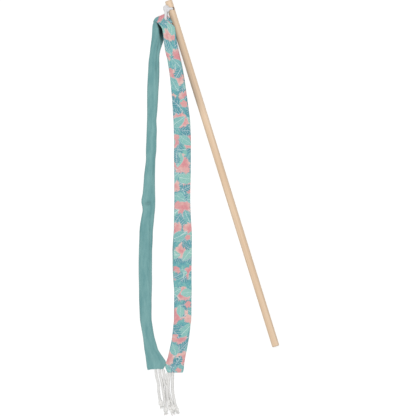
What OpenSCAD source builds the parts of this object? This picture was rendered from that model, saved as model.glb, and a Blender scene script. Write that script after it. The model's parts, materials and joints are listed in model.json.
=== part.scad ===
// Cat teaser wand: a wooden stick with a folded fabric ribbon hung from its tip on a short cord.
//
// It is modelled as it lies on a flat surface. The stick's axis is the Y axis, with the butt end's
// face at the origin and the tip toward +Y. +Z points up, away from the surface. The ribbon lies on
// the -X side. Its two legs are drawn in the ribbon's own plane frame: across the legs (u, to the
// right), along them (v, away from the fold) and up from the surface (h).

/* [Stick] */
// Length of the stick
stick_len = 400; // [300:5:600]
// Diameter of the stick
stick_d = 8; // [6:0.5:12]
// Rounding of the stick's two ends
stick_edge = 1; // [0.3:0.1:1.8]
// Distance from the tip to the middle of the hole
hole_from_tip = 10; // [8:0.5:25]
// Diameter of the hole for the hanger cord
hole_d = 3.2; // [2.8:0.1:4]
// Angle of the hole from straight up
hole_tilt = 45; // [40:1:50]

/* [Hanger cord] */
// Diameter of the hanger cord, pulled tight
hang_d = 2.5; // [1.5:0.1:2.7]
// Size of the hanger cord's knot
hanger_knot_size = 5.6; // [4.6:0.1:6.4]
// How far the knot leans from the stick's top to its side, in degrees
knot_lean = 41.5; // [35:0.5:50]
// Distance along the stick from the knot to the strand through the ribbon
hanger_reach = 11.9; // [11.5:0.1:14]

/* [Ribbon] */
// Width of the ribbon, laid flat
ribbon_w = 22; // [16:0.5:26]
// Thickness of the ribbon, both strips together
ribbon_t = 2.8; // [1.6:0.1:3.2]
// Length of the right leg, from the hanger cord to its end
right_len = 390; // [300:5:560]
// Length of the left leg, from the hanger cord to its end
left_len = 386.5; // [300:5:560]
// Distance from the hanger cord to the crest of the fold
fold_rise = 7; // [5:0.1:7]
// Room between the two legs at the fold
fold_room = 0.9; // [0.9:0.1:2.5]
// Distance from the stick's side to the strand through the ribbon
ribbon_offset = 4.6; // [4.6:0.1:9]
// Angle between the ribbon and the stick, as they lie
lay_angle = 17.2; // [12:0.2:30]
// Slope of the right leg where it rests on the stick's shoulder
shoulder_roll = 6; // [0:0.5:10]

/* [Tassels] */
// Diameter of a tassel cord
tassel_d = 2.6; // [1.6:0.1:2.6]
// Size of a tassel knot
tassel_knot_size = 4.4; // [3.6:0.1:4.6]
// Length of a frayed end
tassel_end_len = 4.6; // [2:0.1:6]
// Diameter of one loose yarn of a frayed end
yarn_d = 0.9; // [0.5:0.05:1.1]
// Loose yarns in a frayed end
yarns = 5; // [3:1:7]
// Angle between a loose yarn and the line of its cord
yarn_splay = 11; // [4:1:16]

/* [Fit] */
// Clearance between soft pieces, and between them and the stick
soft_gap = 0.3; // [0.2:0.05:0.5]

/* [Hidden] */

wood_colour = [0.87, 0.77, 0.66];
hanger_colour = [0.82, 0.82, 0.81];
tassel_colour = [0.88, 0.88, 0.87];
print_colour = [0.86, 0.62, 0.62];
plain_colour = [0.49, 0.67, 0.66];

// Smooth round surfaces, and the sides of a swept cord
round_faces = 48;
cord_sides = 8;
// Segments across one face of the ribbon
leaf_segments = 8;
// What a cutting tool runs past the surface it cuts
overrun = 1;

// Places that follow from the sizes above
stick_r = stick_d / 2;
floor_z = -stick_r;
hole_y = stick_len - hole_from_tip;
knot_rise = stick_r + hanger_knot_size / 2 + soft_gap;
// The knot sits a little toward the tip from the hole, by this share of its size
knot_advance_share = 0.45;
knot_at = [
    -knot_rise * sin(knot_lean),
    hole_y + hanger_knot_size * knot_advance_share,
    knot_rise * cos(knot_lean)
];
pierce = [-stick_r - ribbon_offset, knot_at[1] - hanger_reach, 0];
bore_d = hang_d + 2 * soft_gap;

// Heights of the ribbon's middle above the surface: lying flat, and at the strand for either leg
flat_h = ribbon_t / 2;
rear_h = hang_d + soft_gap + ribbon_t / 2;
// The right leg covers this share of the stick's radius in plan, and lies clear of it there
shoulder_share = 0.71;
shoulder_h = stick_r + stick_r * sqrt(1 - pow(1 - shoulder_share, 2));
// Half the right leg's width there, as a share of the ribbon's
shoulder_reach_share = 0.35;
shoulder_rise = tan(shoulder_roll) * ribbon_w * shoulder_reach_share;
front_h = max(rear_h + ribbon_t + fold_room, shoulder_h + soft_gap - shoulder_rise);

// One row for each station of a leg: place along the leg, place across it, width, height above
// lying flat and thickness. In the head rows the first is a share of fold_rise, in the leg rows of
// the leg's length. The second and third are shares of ribbon_w, the fourth of the way up from
// lying flat to the height at the strand, and the fifth of ribbon_t: where a leg is narrow its
// edges curl under, which makes it thick.
right_head_shares = [
    [-1.00, 0.005, 0.08, 0.85, 0.20],
    [-0.83, 0.015, 0.19, 0.93, 0.55],
    [-0.63, -0.015, 0.355, 0.98, 0.80],
    [-0.23, -0.03, 0.59, 1.00, 1.00],
    [0.19, 0.01, 0.685, 1.00, 1.00],
    [0.74, 0.055, 0.685, 1.00, 1.00],
    [1.23, 0.123, 0.618, 1.00, 1.00],
    [1.86, 0.143, 0.641, 0.99, 1.02],
    [2.80, 0.177, 0.645, 0.89, 1.14],
    [3.80, 0.225, 0.65, 0.70, 1.26],
    [5.00, 0.293, 0.668, 0.44, 1.42],
    [6.40, 0.402, 0.686, 0.22, 1.57]
];
right_leg_shares = [
    [0.171, 0.562, 0.732, 0, 1.59],
    [0.228, 0.68, 0.77, 0, 1.51],
    [0.284, 0.773, 0.845, 0, 1.34],
    [0.341, 0.812, 0.85, 0, 1.33],
    [0.426, 0.81, 0.84, 0, 1.35],
    [0.511, 0.805, 0.82, 0, 1.40],
    [0.596, 0.82, 0.905, 0, 1.21],
    [0.653, 0.785, 0.995, 0, 1.02],
    [0.709, 0.78, 0.95, 0, 1.11],
    [0.766, 0.825, 0.885, 0, 1.25],
    [0.851, 0.805, 0.86, 0, 1.31],
    [0.908, 0.68, 0.845, 0, 1.34],
    [0.965, 0.465, 0.88, 0, 1.15],
    [0.975, 0.425, 0.90, 0, 1.10],
    [0.983, 0.418, 0.905, 0, 1.05],
    [0.993, 0.415, 0.864, 0, 0.98],
    [1.000, 0.427, 0.76, 0, 0.90]
];
left_head_shares = [
    [-0.74, -0.185, 0.08, 1.15, 0.20],
    [-0.63, -0.157, 0.222, 1.08, 0.60],
    [-0.50, -0.16, 0.42, 1.03, 0.85],
    [-0.36, -0.171, 0.58, 1.01, 0.95],
    [-0.17, -0.19, 0.69, 1.00, 1.00],
    [0.19, -0.236, 0.818, 1.00, 1.00],
    [0.71, -0.27, 0.832, 0.95, 1.00],
    [1.64, -0.336, 0.745, 0.75, 1.02],
    [2.57, -0.398, 0.686, 0.50, 1.11],
    [3.54, -0.45, 0.655, 0.25, 1.25],
    [4.80, -0.539, 0.586, 0.08, 1.50],
    [6.37, -0.611, 0.559, 0, 1.78]
];
left_leg_shares = [
    [0.173, -0.652, 0.582, 0, 1.92],
    [0.230, -0.693, 0.532, 0, 2.00],
    [0.287, -0.739, 0.459, 0, 2.10],
    [0.316, -0.733, 0.50, 0, 2.05],
    [0.373, -0.775, 0.523, 0, 2.05],
    [0.401, -0.80, 0.47, 0, 2.10],
    [0.458, -0.855, 0.573, 0, 1.94],
    [0.516, -0.91, 0.695, 0, 1.66],
    [0.544, -0.90, 0.645, 0, 1.80],
    [0.602, -1.016, 0.686, 0, 1.69],
    [0.659, -1.05, 0.655, 0, 1.76],
    [0.716, -1.064, 0.67, 0, 1.72],
    [0.802, -1.064, 0.636, 0, 1.80],
    [0.859, -1.018, 0.61, 0, 1.86],
    [0.916, -0.855, 0.627, 0, 1.80],
    [0.945, -0.752, 0.71, 0, 1.60],
    [0.973, -0.559, 0.945, 0, 1.15],
    [0.985, -0.53, 0.92, 0, 1.08],
    [0.993, -0.541, 0.85, 0, 1.00],
    [1.000, -0.545, 0.75, 0, 0.90]
];

// Route of the hanger cord through and around the stick, from knot to knot, measured from the
// middle of the hole
stick_loop_route = [
    [-3, 1.7, 5.5], [-1.6, 1.1, 5.3], [0, 0.6, 5.4], [1, 0.2, 5.3], [1.95, 0, 5],
    [2.5, 0, 4.6], [2.8, 0, 4], [2.75, 0, 3.35], [2.4, 0, 2.75], [1, 0, 1.1],
    [-1.2, 0, -1.1], [-2.75, 0, -2.35], [-3.25, 0.1, -2.65], [-3.8, 0.2, -2.7],
    [-4.6, 0.5, -2.4], [-5.2, 1.2, -1.3], [-5.4, 1.8, 0.3], [-5.2, 2.2, 1.9], [-4.9, 2.5, 3.2]
];

// Route of the hanger cord through the ribbon, from the knot and back, measured from the foot of
// the strand through both legs
ribbon_loop_route = [
    [3.1, 9, 10.1], [1.8, 5.2, 11], [0.75, 1.9, 11.05], [0.3, 0.7, 10.7], [0, 0.05, 9.6],
    [0, 0, 6.2], [0, 0, 2.9], [0.2, 0.6, 1.8], [0.7, 1.8, 1.3], [1.3, 4.2, 1.3],
    [1.7, 6.3, 1.35], [2, 7.6, 2], [2.1, 8.25, 3.4], [2.3, 8.4, 5], [2.7, 8.8, 6.7]
];

// Routes of the tassel cords, in the ribbon's own frame, measured from the middle of each leg's
// end: three from the left leg, then three from the right leg
tassel_routes = [
    [[0, 0, 1.4], [1.1, 7.3, 1.3], [2.7, 14, 1.3], [2.9, 20.5, 1.3], [3.4, 26, 1.3],
        [4, 31, 1.4], [4.8, 35.5, 2]],
    [[4.5, 0, 1.4], [5, 6.2, 1.3], [5.8, 11.6, 1.3], [7, 18, 1.3], [8.4, 26.4, 1.3],
        [9.7, 33.8, 1.3], [10.4, 39, 1.4], [11, 43, 2]],
    [[8.1, 0, 1.4], [9.3, 5, 1.5], [9.3, 10, 1.9], [9.6, 15.5, 3.2], [10.2, 22, 3.8],
        [11.2, 28.5, 4.2], [13.1, 34.6, 5]],
    [[-7.6, 0, 1.4], [-8.4, 7, 1.3], [-9.3, 13.8, 1.3], [-9.2, 19.3, 1.3], [-7.9, 25.9, 1.3],
        [-6.5, 31.4, 1.3], [-5.8, 37.2, 2]],
    [[-4.8, 0, 1.4], [-5.6, 7, 1.3], [-6.3, 13.8, 1.3], [-6.2, 19.3, 1.3], [-5.1, 25, 1.3],
        [-3.6, 30.4, 1.3], [-1.2, 38.5, 2]],
    [[-1.9, 0, 1.4], [-2.3, 8, 1.3], [-2.6, 15, 1.3], [-2.5, 20.4, 1.3], [-1.6, 26, 1.3],
        [-0.3, 31.4, 1.3], [1.7, 35.8, 1.4], [3.6, 40, 2]]
];
// Length of each frayed end, as a share of tassel_end_len
tassel_end_shares = [1, 0.8, 0.55, 1.45, 0.9, 0.75];

// Vectors

function unit(v) = v / norm(v);

function last(list) = list[len(list) - 1];

function across(v) = abs(v[2]) < 0.9 ? unit(cross(v, [0, 0, 1])) : unit(cross(v, [1, 0, 0]));

// Directions of a route at its points
function headings(route) = [
    for (i = [0 : len(route) - 1])
        let (
            back = i == 0 ? route[1] - route[0] : route[i] - route[i - 1],
            ahead = i == len(route) - 1 ? back : route[i + 1] - route[i]
        )
        unit(unit(back) + unit(ahead))
];

// A side direction for each point of a route, carried along without twist
function carried(dirs, i = 0, sides = []) =
    i == len(dirs) ? sides
    : let (
        before = i == 0 ? across(dirs[0]) : sides[i - 1],
        side = unit(before - (before * dirs[i]) * dirs[i])
    )
    carried(dirs, i + 1, concat(sides, [side]));

// Mesh rules

// Triangles that join rings of n points each, closed around, with a fan over either end
function tube_faces(rings, n) = concat(
    [for (i = [0 : rings - 2], k = [0 : n - 1])
        let (a = i * n + k, b = i * n + (k + 1) % n)
        each [[a, b, b + n], [a, b + n, a + n]]],
    [for (k = [1 : n - 2]) [0, k + 1, k]],
    [for (k = [1 : n - 2]) let (o = (rings - 1) * n) [o, o + k, o + k + 1]]
);

// A cord of diameter d along a route
module cord(route, d) {
    dirs = headings(route);
    sides = carried(dirs);
    points = [
        for (i = [0 : len(route) - 1], k = [0 : cord_sides - 1])
            let (a = 360 * k / cord_sides)
            route[i] + d / 2 * (cos(a) * sides[i] + sin(a) * cross(dirs[i], sides[i]))
    ];
    polyhedron(points, tube_faces(len(route), cord_sides));
}

// Ribbon

// The ribbon's own frame: x across the legs, y from their ends toward the fold, z up from the surface
module ribbon_frame() {
    translate([pierce[0], pierce[1], floor_z])
        rotate([0, 0, -lay_angle])
            children();
}

// Height of a station's middle: where it is thicker than the flat ribbon, only its top is higher
function middle_h(s, top_h) = flat_h * max(1, s[4]) + s[3] * (top_h - flat_h);

// Stations of a leg in millimetres: place along, place across, width, height, thickness, slope
function stations(head_shares, leg_shares, leg_len, top_h, slope) = concat(
    [for (s = head_shares) [s[0] * fold_rise, s[1] * ribbon_w, s[2] * ribbon_w,
        middle_h(s, top_h), s[4] * ribbon_t, slope * max(0, min(1, s[3]))]],
    [for (s = leg_shares) [s[0] * leg_len, s[1] * ribbon_w, s[2] * ribbon_w,
        middle_h(s, top_h), s[4] * ribbon_t, 0]]
);

right_stations = stations(right_head_shares, right_leg_shares, right_len, front_h,
    tan(shoulder_roll));
left_stations = stations(left_head_shares, left_leg_shares, left_len, rear_h, 0);

// The outline of one strip at a station, from its right edge over its bulge to its left edge.
// face is 1 for the upper strip and -1 for the lower one.
function strip_ring(s, face) = [
    for (k = [0 : leaf_segments])
        let (
            a = 180 * k / leaf_segments,
            x = s[2] / 2 * cos(a)
        )
        [s[1] + x, -s[0], s[3] + s[5] * x + face * s[4] / 2 * sin(a)]
];

// One strip of a leg: its bulge, the flat where it lies on the other strip, and its two ends
module strip(list, face) {
    n = leaf_segments + 1;
    rings = len(list);
    far = (rings - 1) * n;
    points = [for (s = list) each strip_ring(s, face)];
    bulge = [for (i = [0 : rings - 2], k = [0 : leaf_segments - 1])
        let (a = i * n + k)
        each [[a + 1, a, a + n], [a + 1, a + n, a + n + 1]]];
    flat = [for (i = [0 : rings - 2])
        let (a = i * n, b = a + n - 1)
        each [[b, b + n, a], [b + n, a + n, a]]];
    ends = [for (k = [1 : n - 2]) each [[0, k, k + 1], [far, far + k + 1, far + k]]];
    faces = concat(bulge, flat, ends);
    polyhedron(points, face > 0 ? faces : [for (f = faces) [f[2], f[1], f[0]]]);
}

// A strip with its hole for the hanger cord
module pierced_strip(list, face) {
    ribbon_frame()
        difference() {
            strip(list, face);
            cylinder(d = bore_d, h = front_h + ribbon_t + overrun, $fn = round_faces);
        }
}

module right_leg_print() {
    color(print_colour) pierced_strip(right_stations, 1);
}

module right_leg_plain() {
    color(plain_colour) pierced_strip(right_stations, -1);
}

module left_leg_plain() {
    color(plain_colour) pierced_strip(left_stations, 1);
}

module left_leg_print() {
    color(print_colour) pierced_strip(left_stations, -1);
}

// Stick

// Half of the stick's outline, from its axis out, with rounded corners at both ends
module stick_outline() {
    square([stick_r - stick_edge, stick_len]);
    translate([0, stick_edge])
        square([stick_r, stick_len - 2 * stick_edge]);
    for (y = [stick_edge, stick_len - stick_edge])
        translate([stick_r - stick_edge, y])
            circle(stick_edge, $fn = round_faces);
}

module stick() {
    color(wood_colour)
        difference() {
            rotate([-90, 0, 0])
                rotate_extrude($fn = round_faces)
                    intersection() {
                        stick_outline();
                        square([stick_d, stick_len]);
                    }
            translate([0, hole_y, 0])
                rotate([0, hole_tilt, 0])
                    cylinder(d = hole_d, h = stick_d + 2 * overrun, center = true,
                        $fn = round_faces);
        }
}

// Hanger cord

module stick_loop() {
    color(hanger_colour)
        translate([0, hole_y, 0])
            cord(stick_loop_route, hang_d);
}

module ribbon_loop() {
    color(hanger_colour)
        translate([pierce[0], pierce[1], floor_z])
            cord(ribbon_loop_route, hang_d);
}

// Knots

// Shares of a knot's size: the thickness of its two turns, and how far each lies from its middle
turn_share = 0.42;
turn_step_share = 0.19;
// Length of the hanger knot's core, as a share of the knot's size
hanger_core_share = 0.85;

// A tight knot around the middle of its cord, which lies along Z: two turns side by side on a core
module knot(size, d, core_len) {
    rotate_extrude($fn = round_faces) {
        translate([0, -core_len / 2])
            square([d / 2, core_len]);
        for (side = [-1, 1])
            translate([size * (1 - turn_share) / 2, side * size * turn_step_share])
                circle(d = size * turn_share, $fn = round_faces);
    }
}

// Places its children at a point, with their Z axis along a direction
module along(point, dir) {
    translate(point)
        rotate([0, acos(dir[2]), atan2(dir[1], dir[0])])
            children();
}

module hanger_knot() {
    run = [pierce[0] - knot_at[0], pierce[1] - knot_at[1], 0];
    color(hanger_colour)
        along(knot_at, unit(run))
            knot(hanger_knot_size, hang_d, hanger_knot_size * hanger_core_share);
}

// Tassels

left_tassels = 3;

// The middle of the end of the leg that carries tassel i, in the ribbon's own frame
function tassel_root(i) =
    let (s = i < left_tassels ? last(left_stations) : last(right_stations))
    [s[1], -s[0], 0];

// The route of tassel i in the ribbon's own frame, where the legs run toward -y
function tassel_route(i) = [for (p = tassel_routes[i]) tassel_root(i) + [p[0], -p[1], p[2]]];

// Direction of a route at its end
function end_heading(route) = last(headings(route));

module tassel_cord(i) {
    color(tassel_colour)
        ribbon_frame()
            cord(tassel_route(i), tassel_d);
}

module tassel_knot(i) {
    route = tassel_route(i);
    dir = end_heading(route);
    color(tassel_colour)
        ribbon_frame()
            along(last(route) + dir * tassel_knot_size / 2, dir)
                knot(tassel_knot_size, tassel_d, tassel_knot_size);
}

module tassel_end(i) {
    route = tassel_route(i);
    dir = end_heading(route);
    end_len = tassel_end_len * tassel_end_shares[i];
    spread_r = (tassel_d - yarn_d) / 2;
    color(tassel_colour)
        ribbon_frame()
            along(last(route) + dir * tassel_knot_size, dir) {
                cylinder(d = tassel_d, h = yarn_d, $fn = round_faces);
                for (k = [0 : yarns - 1])
                    rotate([0, 0, 360 * k / yarns])
                        translate([spread_r / 2, 0, yarn_d / 2])
                            rotate([0, yarn_splay, 0])
                                cylinder(d = yarn_d, h = end_len, $fn = round_faces / 2);
            }
}

stick();
stick_loop();
hanger_knot();
ribbon_loop();
right_leg_print();
right_leg_plain();
left_leg_print();
left_leg_plain();
tassel_cord(0);  // tassel_cord_1
tassel_cord(1);  // tassel_cord_2
tassel_cord(2);  // tassel_cord_3
tassel_cord(3);  // tassel_cord_4
tassel_cord(4);  // tassel_cord_5
tassel_cord(5);  // tassel_cord_6
tassel_knot(0);  // tassel_knot_1
tassel_knot(1);  // tassel_knot_2
tassel_knot(2);  // tassel_knot_3
tassel_knot(3);  // tassel_knot_4
tassel_knot(4);  // tassel_knot_5
tassel_knot(5);  // tassel_knot_6
tassel_end(0);  // tassel_end_1
tassel_end(1);  // tassel_end_2
tassel_end(2);  // tassel_end_3
tassel_end(3);  // tassel_end_4
tassel_end(4);  // tassel_end_5
tassel_end(5);  // tassel_end_6
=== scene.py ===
"""Cat teaser wand: a wooden stick with a folded ribbon, a hanger cord and knotted tassel cords.

The stick is the frame's own node. The ribbon is a flat tube of two strips, a printed one and a plain
one, that is laid out around the frame's two legs and turned over at the fold. Sizes that a user would
change are properties of the add-on's panel, and the rest follow from the frame.
"""

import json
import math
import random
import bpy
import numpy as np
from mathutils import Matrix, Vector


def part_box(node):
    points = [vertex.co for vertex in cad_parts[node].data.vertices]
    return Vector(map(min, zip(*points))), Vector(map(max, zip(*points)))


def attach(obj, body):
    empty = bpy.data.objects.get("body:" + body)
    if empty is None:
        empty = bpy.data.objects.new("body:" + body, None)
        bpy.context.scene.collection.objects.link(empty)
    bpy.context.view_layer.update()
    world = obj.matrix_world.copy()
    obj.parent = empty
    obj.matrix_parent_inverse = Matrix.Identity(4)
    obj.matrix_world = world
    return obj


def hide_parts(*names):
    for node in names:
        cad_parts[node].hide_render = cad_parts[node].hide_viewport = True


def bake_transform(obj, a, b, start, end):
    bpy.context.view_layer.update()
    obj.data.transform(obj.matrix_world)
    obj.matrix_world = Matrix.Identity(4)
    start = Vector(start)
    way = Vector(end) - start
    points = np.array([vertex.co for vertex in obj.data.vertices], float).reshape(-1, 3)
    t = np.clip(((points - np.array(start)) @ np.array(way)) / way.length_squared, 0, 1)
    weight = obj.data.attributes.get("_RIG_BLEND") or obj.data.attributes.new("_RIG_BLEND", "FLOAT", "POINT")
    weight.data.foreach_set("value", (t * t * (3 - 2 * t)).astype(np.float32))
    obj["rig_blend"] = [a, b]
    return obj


bl_info = {
    "name": "Ribbon Wand",
    "version": (1, 0, 0),
    "blender": (4, 5, 0),
    "location": "View3D > Sidebar > Ribbon Wand",
    "description": "Finishes a wooden cat wand with its folded ribbon, cords and tassels",
    "category": "Object",
}

import bmesh
import bpy
import numpy as np
from mathutils import Vector, noise

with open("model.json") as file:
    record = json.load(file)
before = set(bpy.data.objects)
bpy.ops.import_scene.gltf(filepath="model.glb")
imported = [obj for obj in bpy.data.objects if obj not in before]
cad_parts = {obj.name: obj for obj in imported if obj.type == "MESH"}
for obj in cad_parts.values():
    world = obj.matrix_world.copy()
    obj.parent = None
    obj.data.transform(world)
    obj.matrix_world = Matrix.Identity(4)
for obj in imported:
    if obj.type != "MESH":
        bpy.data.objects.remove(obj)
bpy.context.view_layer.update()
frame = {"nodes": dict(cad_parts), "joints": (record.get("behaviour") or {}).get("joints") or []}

MM = 0.001
UV_NAME = "UVMap"
# Name of the vertex attribute that holds painted shade deep in the fold and in the left leg's creases
PAINTED_SHADE_NAME = "painted_shade"

# The picture: how wide a strip of the surface it shows, in millimetres, the point of the surface at its
# centre, and how far it is turned
PICTURE_WIDTH = 459.7
PICTURE_CENTRE = (-26.25, 168.17)
PICTURE_TURN = math.radians(-17.26)
LENS = 300
SENSOR = 36


def joint_place(name):
    """The point that a joint turns about, in metres."""
    return next(joint["pos_m"] for joint in frame["joints"] if joint["name"] == name)


# The ribbon's own frame: across the legs, along them away from the fold, and up from the surface
LAY_ANGLE = math.radians(17.2)
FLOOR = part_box("stick")[0].z
PIERCE = joint_place("ribbon_swing")


def to_wand(points):
    """Points of the ribbon's own frame, in millimetres, as points of the wand's frame in metres."""
    u, v, h = np.moveaxis(np.asarray(points, float) * MM, -1, 0)
    c, s = math.cos(LAY_ANGLE), math.sin(LAY_ANGLE)
    return np.stack([PIERCE[0] + u * c - v * s, PIERCE[1] - u * s - v * c, FLOOR + h], axis=-1)


def to_ribbon(points):
    """Points of the wand's frame, in metres, as points of the ribbon's own frame in millimetres."""
    x, y, z = np.asarray(points, float).T
    x, y = (x - PIERCE[0]) / MM, (y - PIERCE[1]) / MM
    c, s = math.cos(LAY_ANGLE), math.sin(LAY_ANGLE)
    return np.stack([x * c - y * s, -x * s - y * c, (z - FLOOR) / MM], axis=-1)


# Curves and tubes

# Vertices closer than this, in metres, become one
WELD = 1e-7
# How round a cord's lobes are: 1 is a plain wave, and less is fuller
LOBE_SHAPE = 0.7
# A direction counts as upright from this share of its length in height
UPRIGHT = 0.9


def spline(points, step):
    """A smooth line through points, as points about step apart."""
    p = np.asarray(points, float)
    p = np.vstack([2 * p[0] - p[1], p, 2 * p[-1] - p[-2]])
    line = []
    for a, b, c, d in zip(p[:-3], p[1:-2], p[2:-1], p[3:]):
        count = max(2, math.ceil(np.linalg.norm(c - b) / step))
        for t in np.arange(count) / count:
            line.append(
                (2 * b + (c - a) * t + (2 * a - 5 * b + 4 * c - d) * t**2
                 + (3 * b - a - 3 * c + d) * t**3) / 2
            )
    line.append(p[-2])
    return np.array(line)


def lengths(line):
    """The distance along a line to each of its points."""
    return np.concatenate([[0], np.cumsum(np.linalg.norm(np.diff(line, axis=0), axis=1))])


def carried_frames(line):
    """Two side directions for each point of a line, carried along without twist."""
    ways = np.gradient(line, axis=0)
    ways /= np.linalg.norm(ways, axis=1)[:, None]
    side = np.cross(ways[0], (0, 0, 1) if abs(ways[0][2]) < UPRIGHT else (1, 0, 0))
    sides = []
    for way in ways:
        side = side - (side @ way) * way
        side = side / np.linalg.norm(side)
        sides.append(side)
    sides = np.array(sides)
    return sides, np.cross(ways, sides)


def grid_of(mesh, points, uv, painted_shade=None):
    """Adds a grid whose vertices lie at points, an array of rows by columns, with its own map uv.

    The last argument gives each vertex its painted shade, from 0 to 1, which darkens the cloth deep between
    folds.
    """
    rows, columns = points.shape[0] - 1, points.shape[1] - 1
    made = bmesh.ops.create_grid(mesh, x_segments=columns, y_segments=rows, size=1, calc_uvs=True)
    places = {}
    for vertex in made["verts"]:
        place = (round((vertex.co.y + 1) / 2 * rows), round((vertex.co.x + 1) / 2 * columns))
        places[vertex] = place
        vertex.co = points[place]
        if painted_shade is not None:
            vertex[mesh.verts.layers.float[PAINTED_SHADE_NAME]] = painted_shade[place]
    layer = mesh.loops.layers.uv[UV_NAME]
    for face in {f for v in made["verts"] for f in v.link_faces}:
        for loop in face.loops:
            loop[layer].uv = uv[places[loop.vert]]
    return made["verts"]


def tube_into(mesh, line, radii, around, twist=0.0, lobes=0, depth=0.0):
    """Adds a closed tube along a line in millimetres, with lobes that wind round it."""
    along = lengths(line)
    side, up = carried_frames(line)
    angles = np.linspace(0, 2 * math.pi, around + 1)
    turned = angles[None] + (2 * math.pi * along / twist if twist else 0 * along)[:, None]
    ridge = np.abs(np.cos(lobes / 2 * angles))[None] ** LOBE_SHAPE if lobes else 1
    radius = np.asarray(radii, float)[:, None] * (1 - depth + depth * ridge)
    points = (
        line[:, None]
        + (radius * np.cos(turned))[..., None] * side[:, None]
        + (radius * np.sin(turned))[..., None] * up[:, None]
    )
    girth = 2 * math.pi * float(np.median(radii))
    uv = np.empty(points.shape[:2] + (2,))
    uv[..., 0] = angles / (2 * math.pi) * girth * MM
    uv[..., 1] = along[:, None] * MM
    verts = grid_of(mesh, points * MM, uv)
    welded = bmesh.ops.find_doubles(mesh, verts=verts, dist=WELD)["targetmap"]
    bmesh.ops.weld_verts(mesh, targetmap=welded)
    kept = [v for v in verts if v.is_valid]
    rims = {e for v in kept for e in v.link_edges if e.is_boundary}
    caps = bmesh.ops.holes_fill(mesh, edges=list(rims), sides=0)["faces"]
    bmesh.ops.recalc_face_normals(mesh, faces=list({f for v in kept for f in v.link_faces} | set(caps)))


def new_mesh():
    """An empty mesh with the map that the materials read."""
    mesh = bmesh.new()
    mesh.loops.layers.uv.new(UV_NAME)
    mesh.verts.layers.float.new(PAINTED_SHADE_NAME)
    return mesh


def finished(mesh, name, body, material, sharp=None):
    """A smooth piece made of a mesh, riding on a body, with its finish."""
    if sharp:
        mesh.normal_update()
        for edge in mesh.edges:
            edge.smooth = edge.calc_face_angle(0) < sharp
    for face in mesh.faces:
        face.smooth = True
    data = bpy.data.meshes.new(name)
    mesh.to_mesh(data)
    mesh.free()
    piece = bpy.data.objects.new(name, data)
    bpy.context.scene.collection.objects.link(piece)
    data.materials.append(material)
    if body:
        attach(piece, body)
    return piece


# Shader graphs

# Sockets of a Mix node that is set to colours
MIX_FACTOR, MIX_LOW, MIX_HIGH, MIX_RESULT = 0, 6, 7, 2
# A picture's colours as light: the slope up to the darkest curved one, and the curve's lift and power
STRAIGHT_SLOPE, CURVED_FROM, CURVE_LIFT, CURVE_POWER = 12.92, 0.04045, 0.055, 2.4
# What a picture's colours go up to
BRIGHTEST = 255


def linear(colour):
    """A colour as a picture holds it, from 0 to 1, as linear light."""
    return [c / STRAIGHT_SLOPE if c <= CURVED_FROM else ((c + CURVE_LIFT) / (1 + CURVE_LIFT)) ** CURVE_POWER
            for c in colour]


class Term:
    """A value in a shader graph. Sums and products of terms add the nodes that work them out."""

    def __init__(self, graph, socket):
        self.graph, self.socket = graph, socket

    def math(self, operation, *others):
        inputs = dict(enumerate([self, *others]))
        return self.graph.node("ShaderNodeMath", {"operation": operation}, inputs)

    def __add__(self, other):
        return self.math("ADD", other)

    def __mul__(self, other):
        return self.math("MULTIPLY", other)

    def __sub__(self, other):
        return self.math("SUBTRACT", other)

    def __truediv__(self, other):
        return self.math("DIVIDE", other)

    def __rsub__(self, other):
        return self * -1 + other

    __radd__, __rmul__ = __add__, __mul__

    def sin(self):
        return self.math("SINE")

    def cos(self):
        return self.math("COSINE")

    def abs(self):
        return self.math("ABSOLUTE")

    def floor(self):
        return self.math("FLOOR")

    def fract(self):
        return self.math("FRACT")

    def power(self, other):
        return self.math("POWER", other)

    def most(self, other):
        return self.math("MAXIMUM", other)

    def ramp(self, low, high):
        """0 below low and 1 above high, or the other way round where low is the larger."""
        inputs = {"Value": self, "From Min": low, "From Max": high}
        settings = {"interpolation_type": "SMOOTHSTEP"}
        return self.graph.node("ShaderNodeMapRange", settings, inputs)


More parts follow.
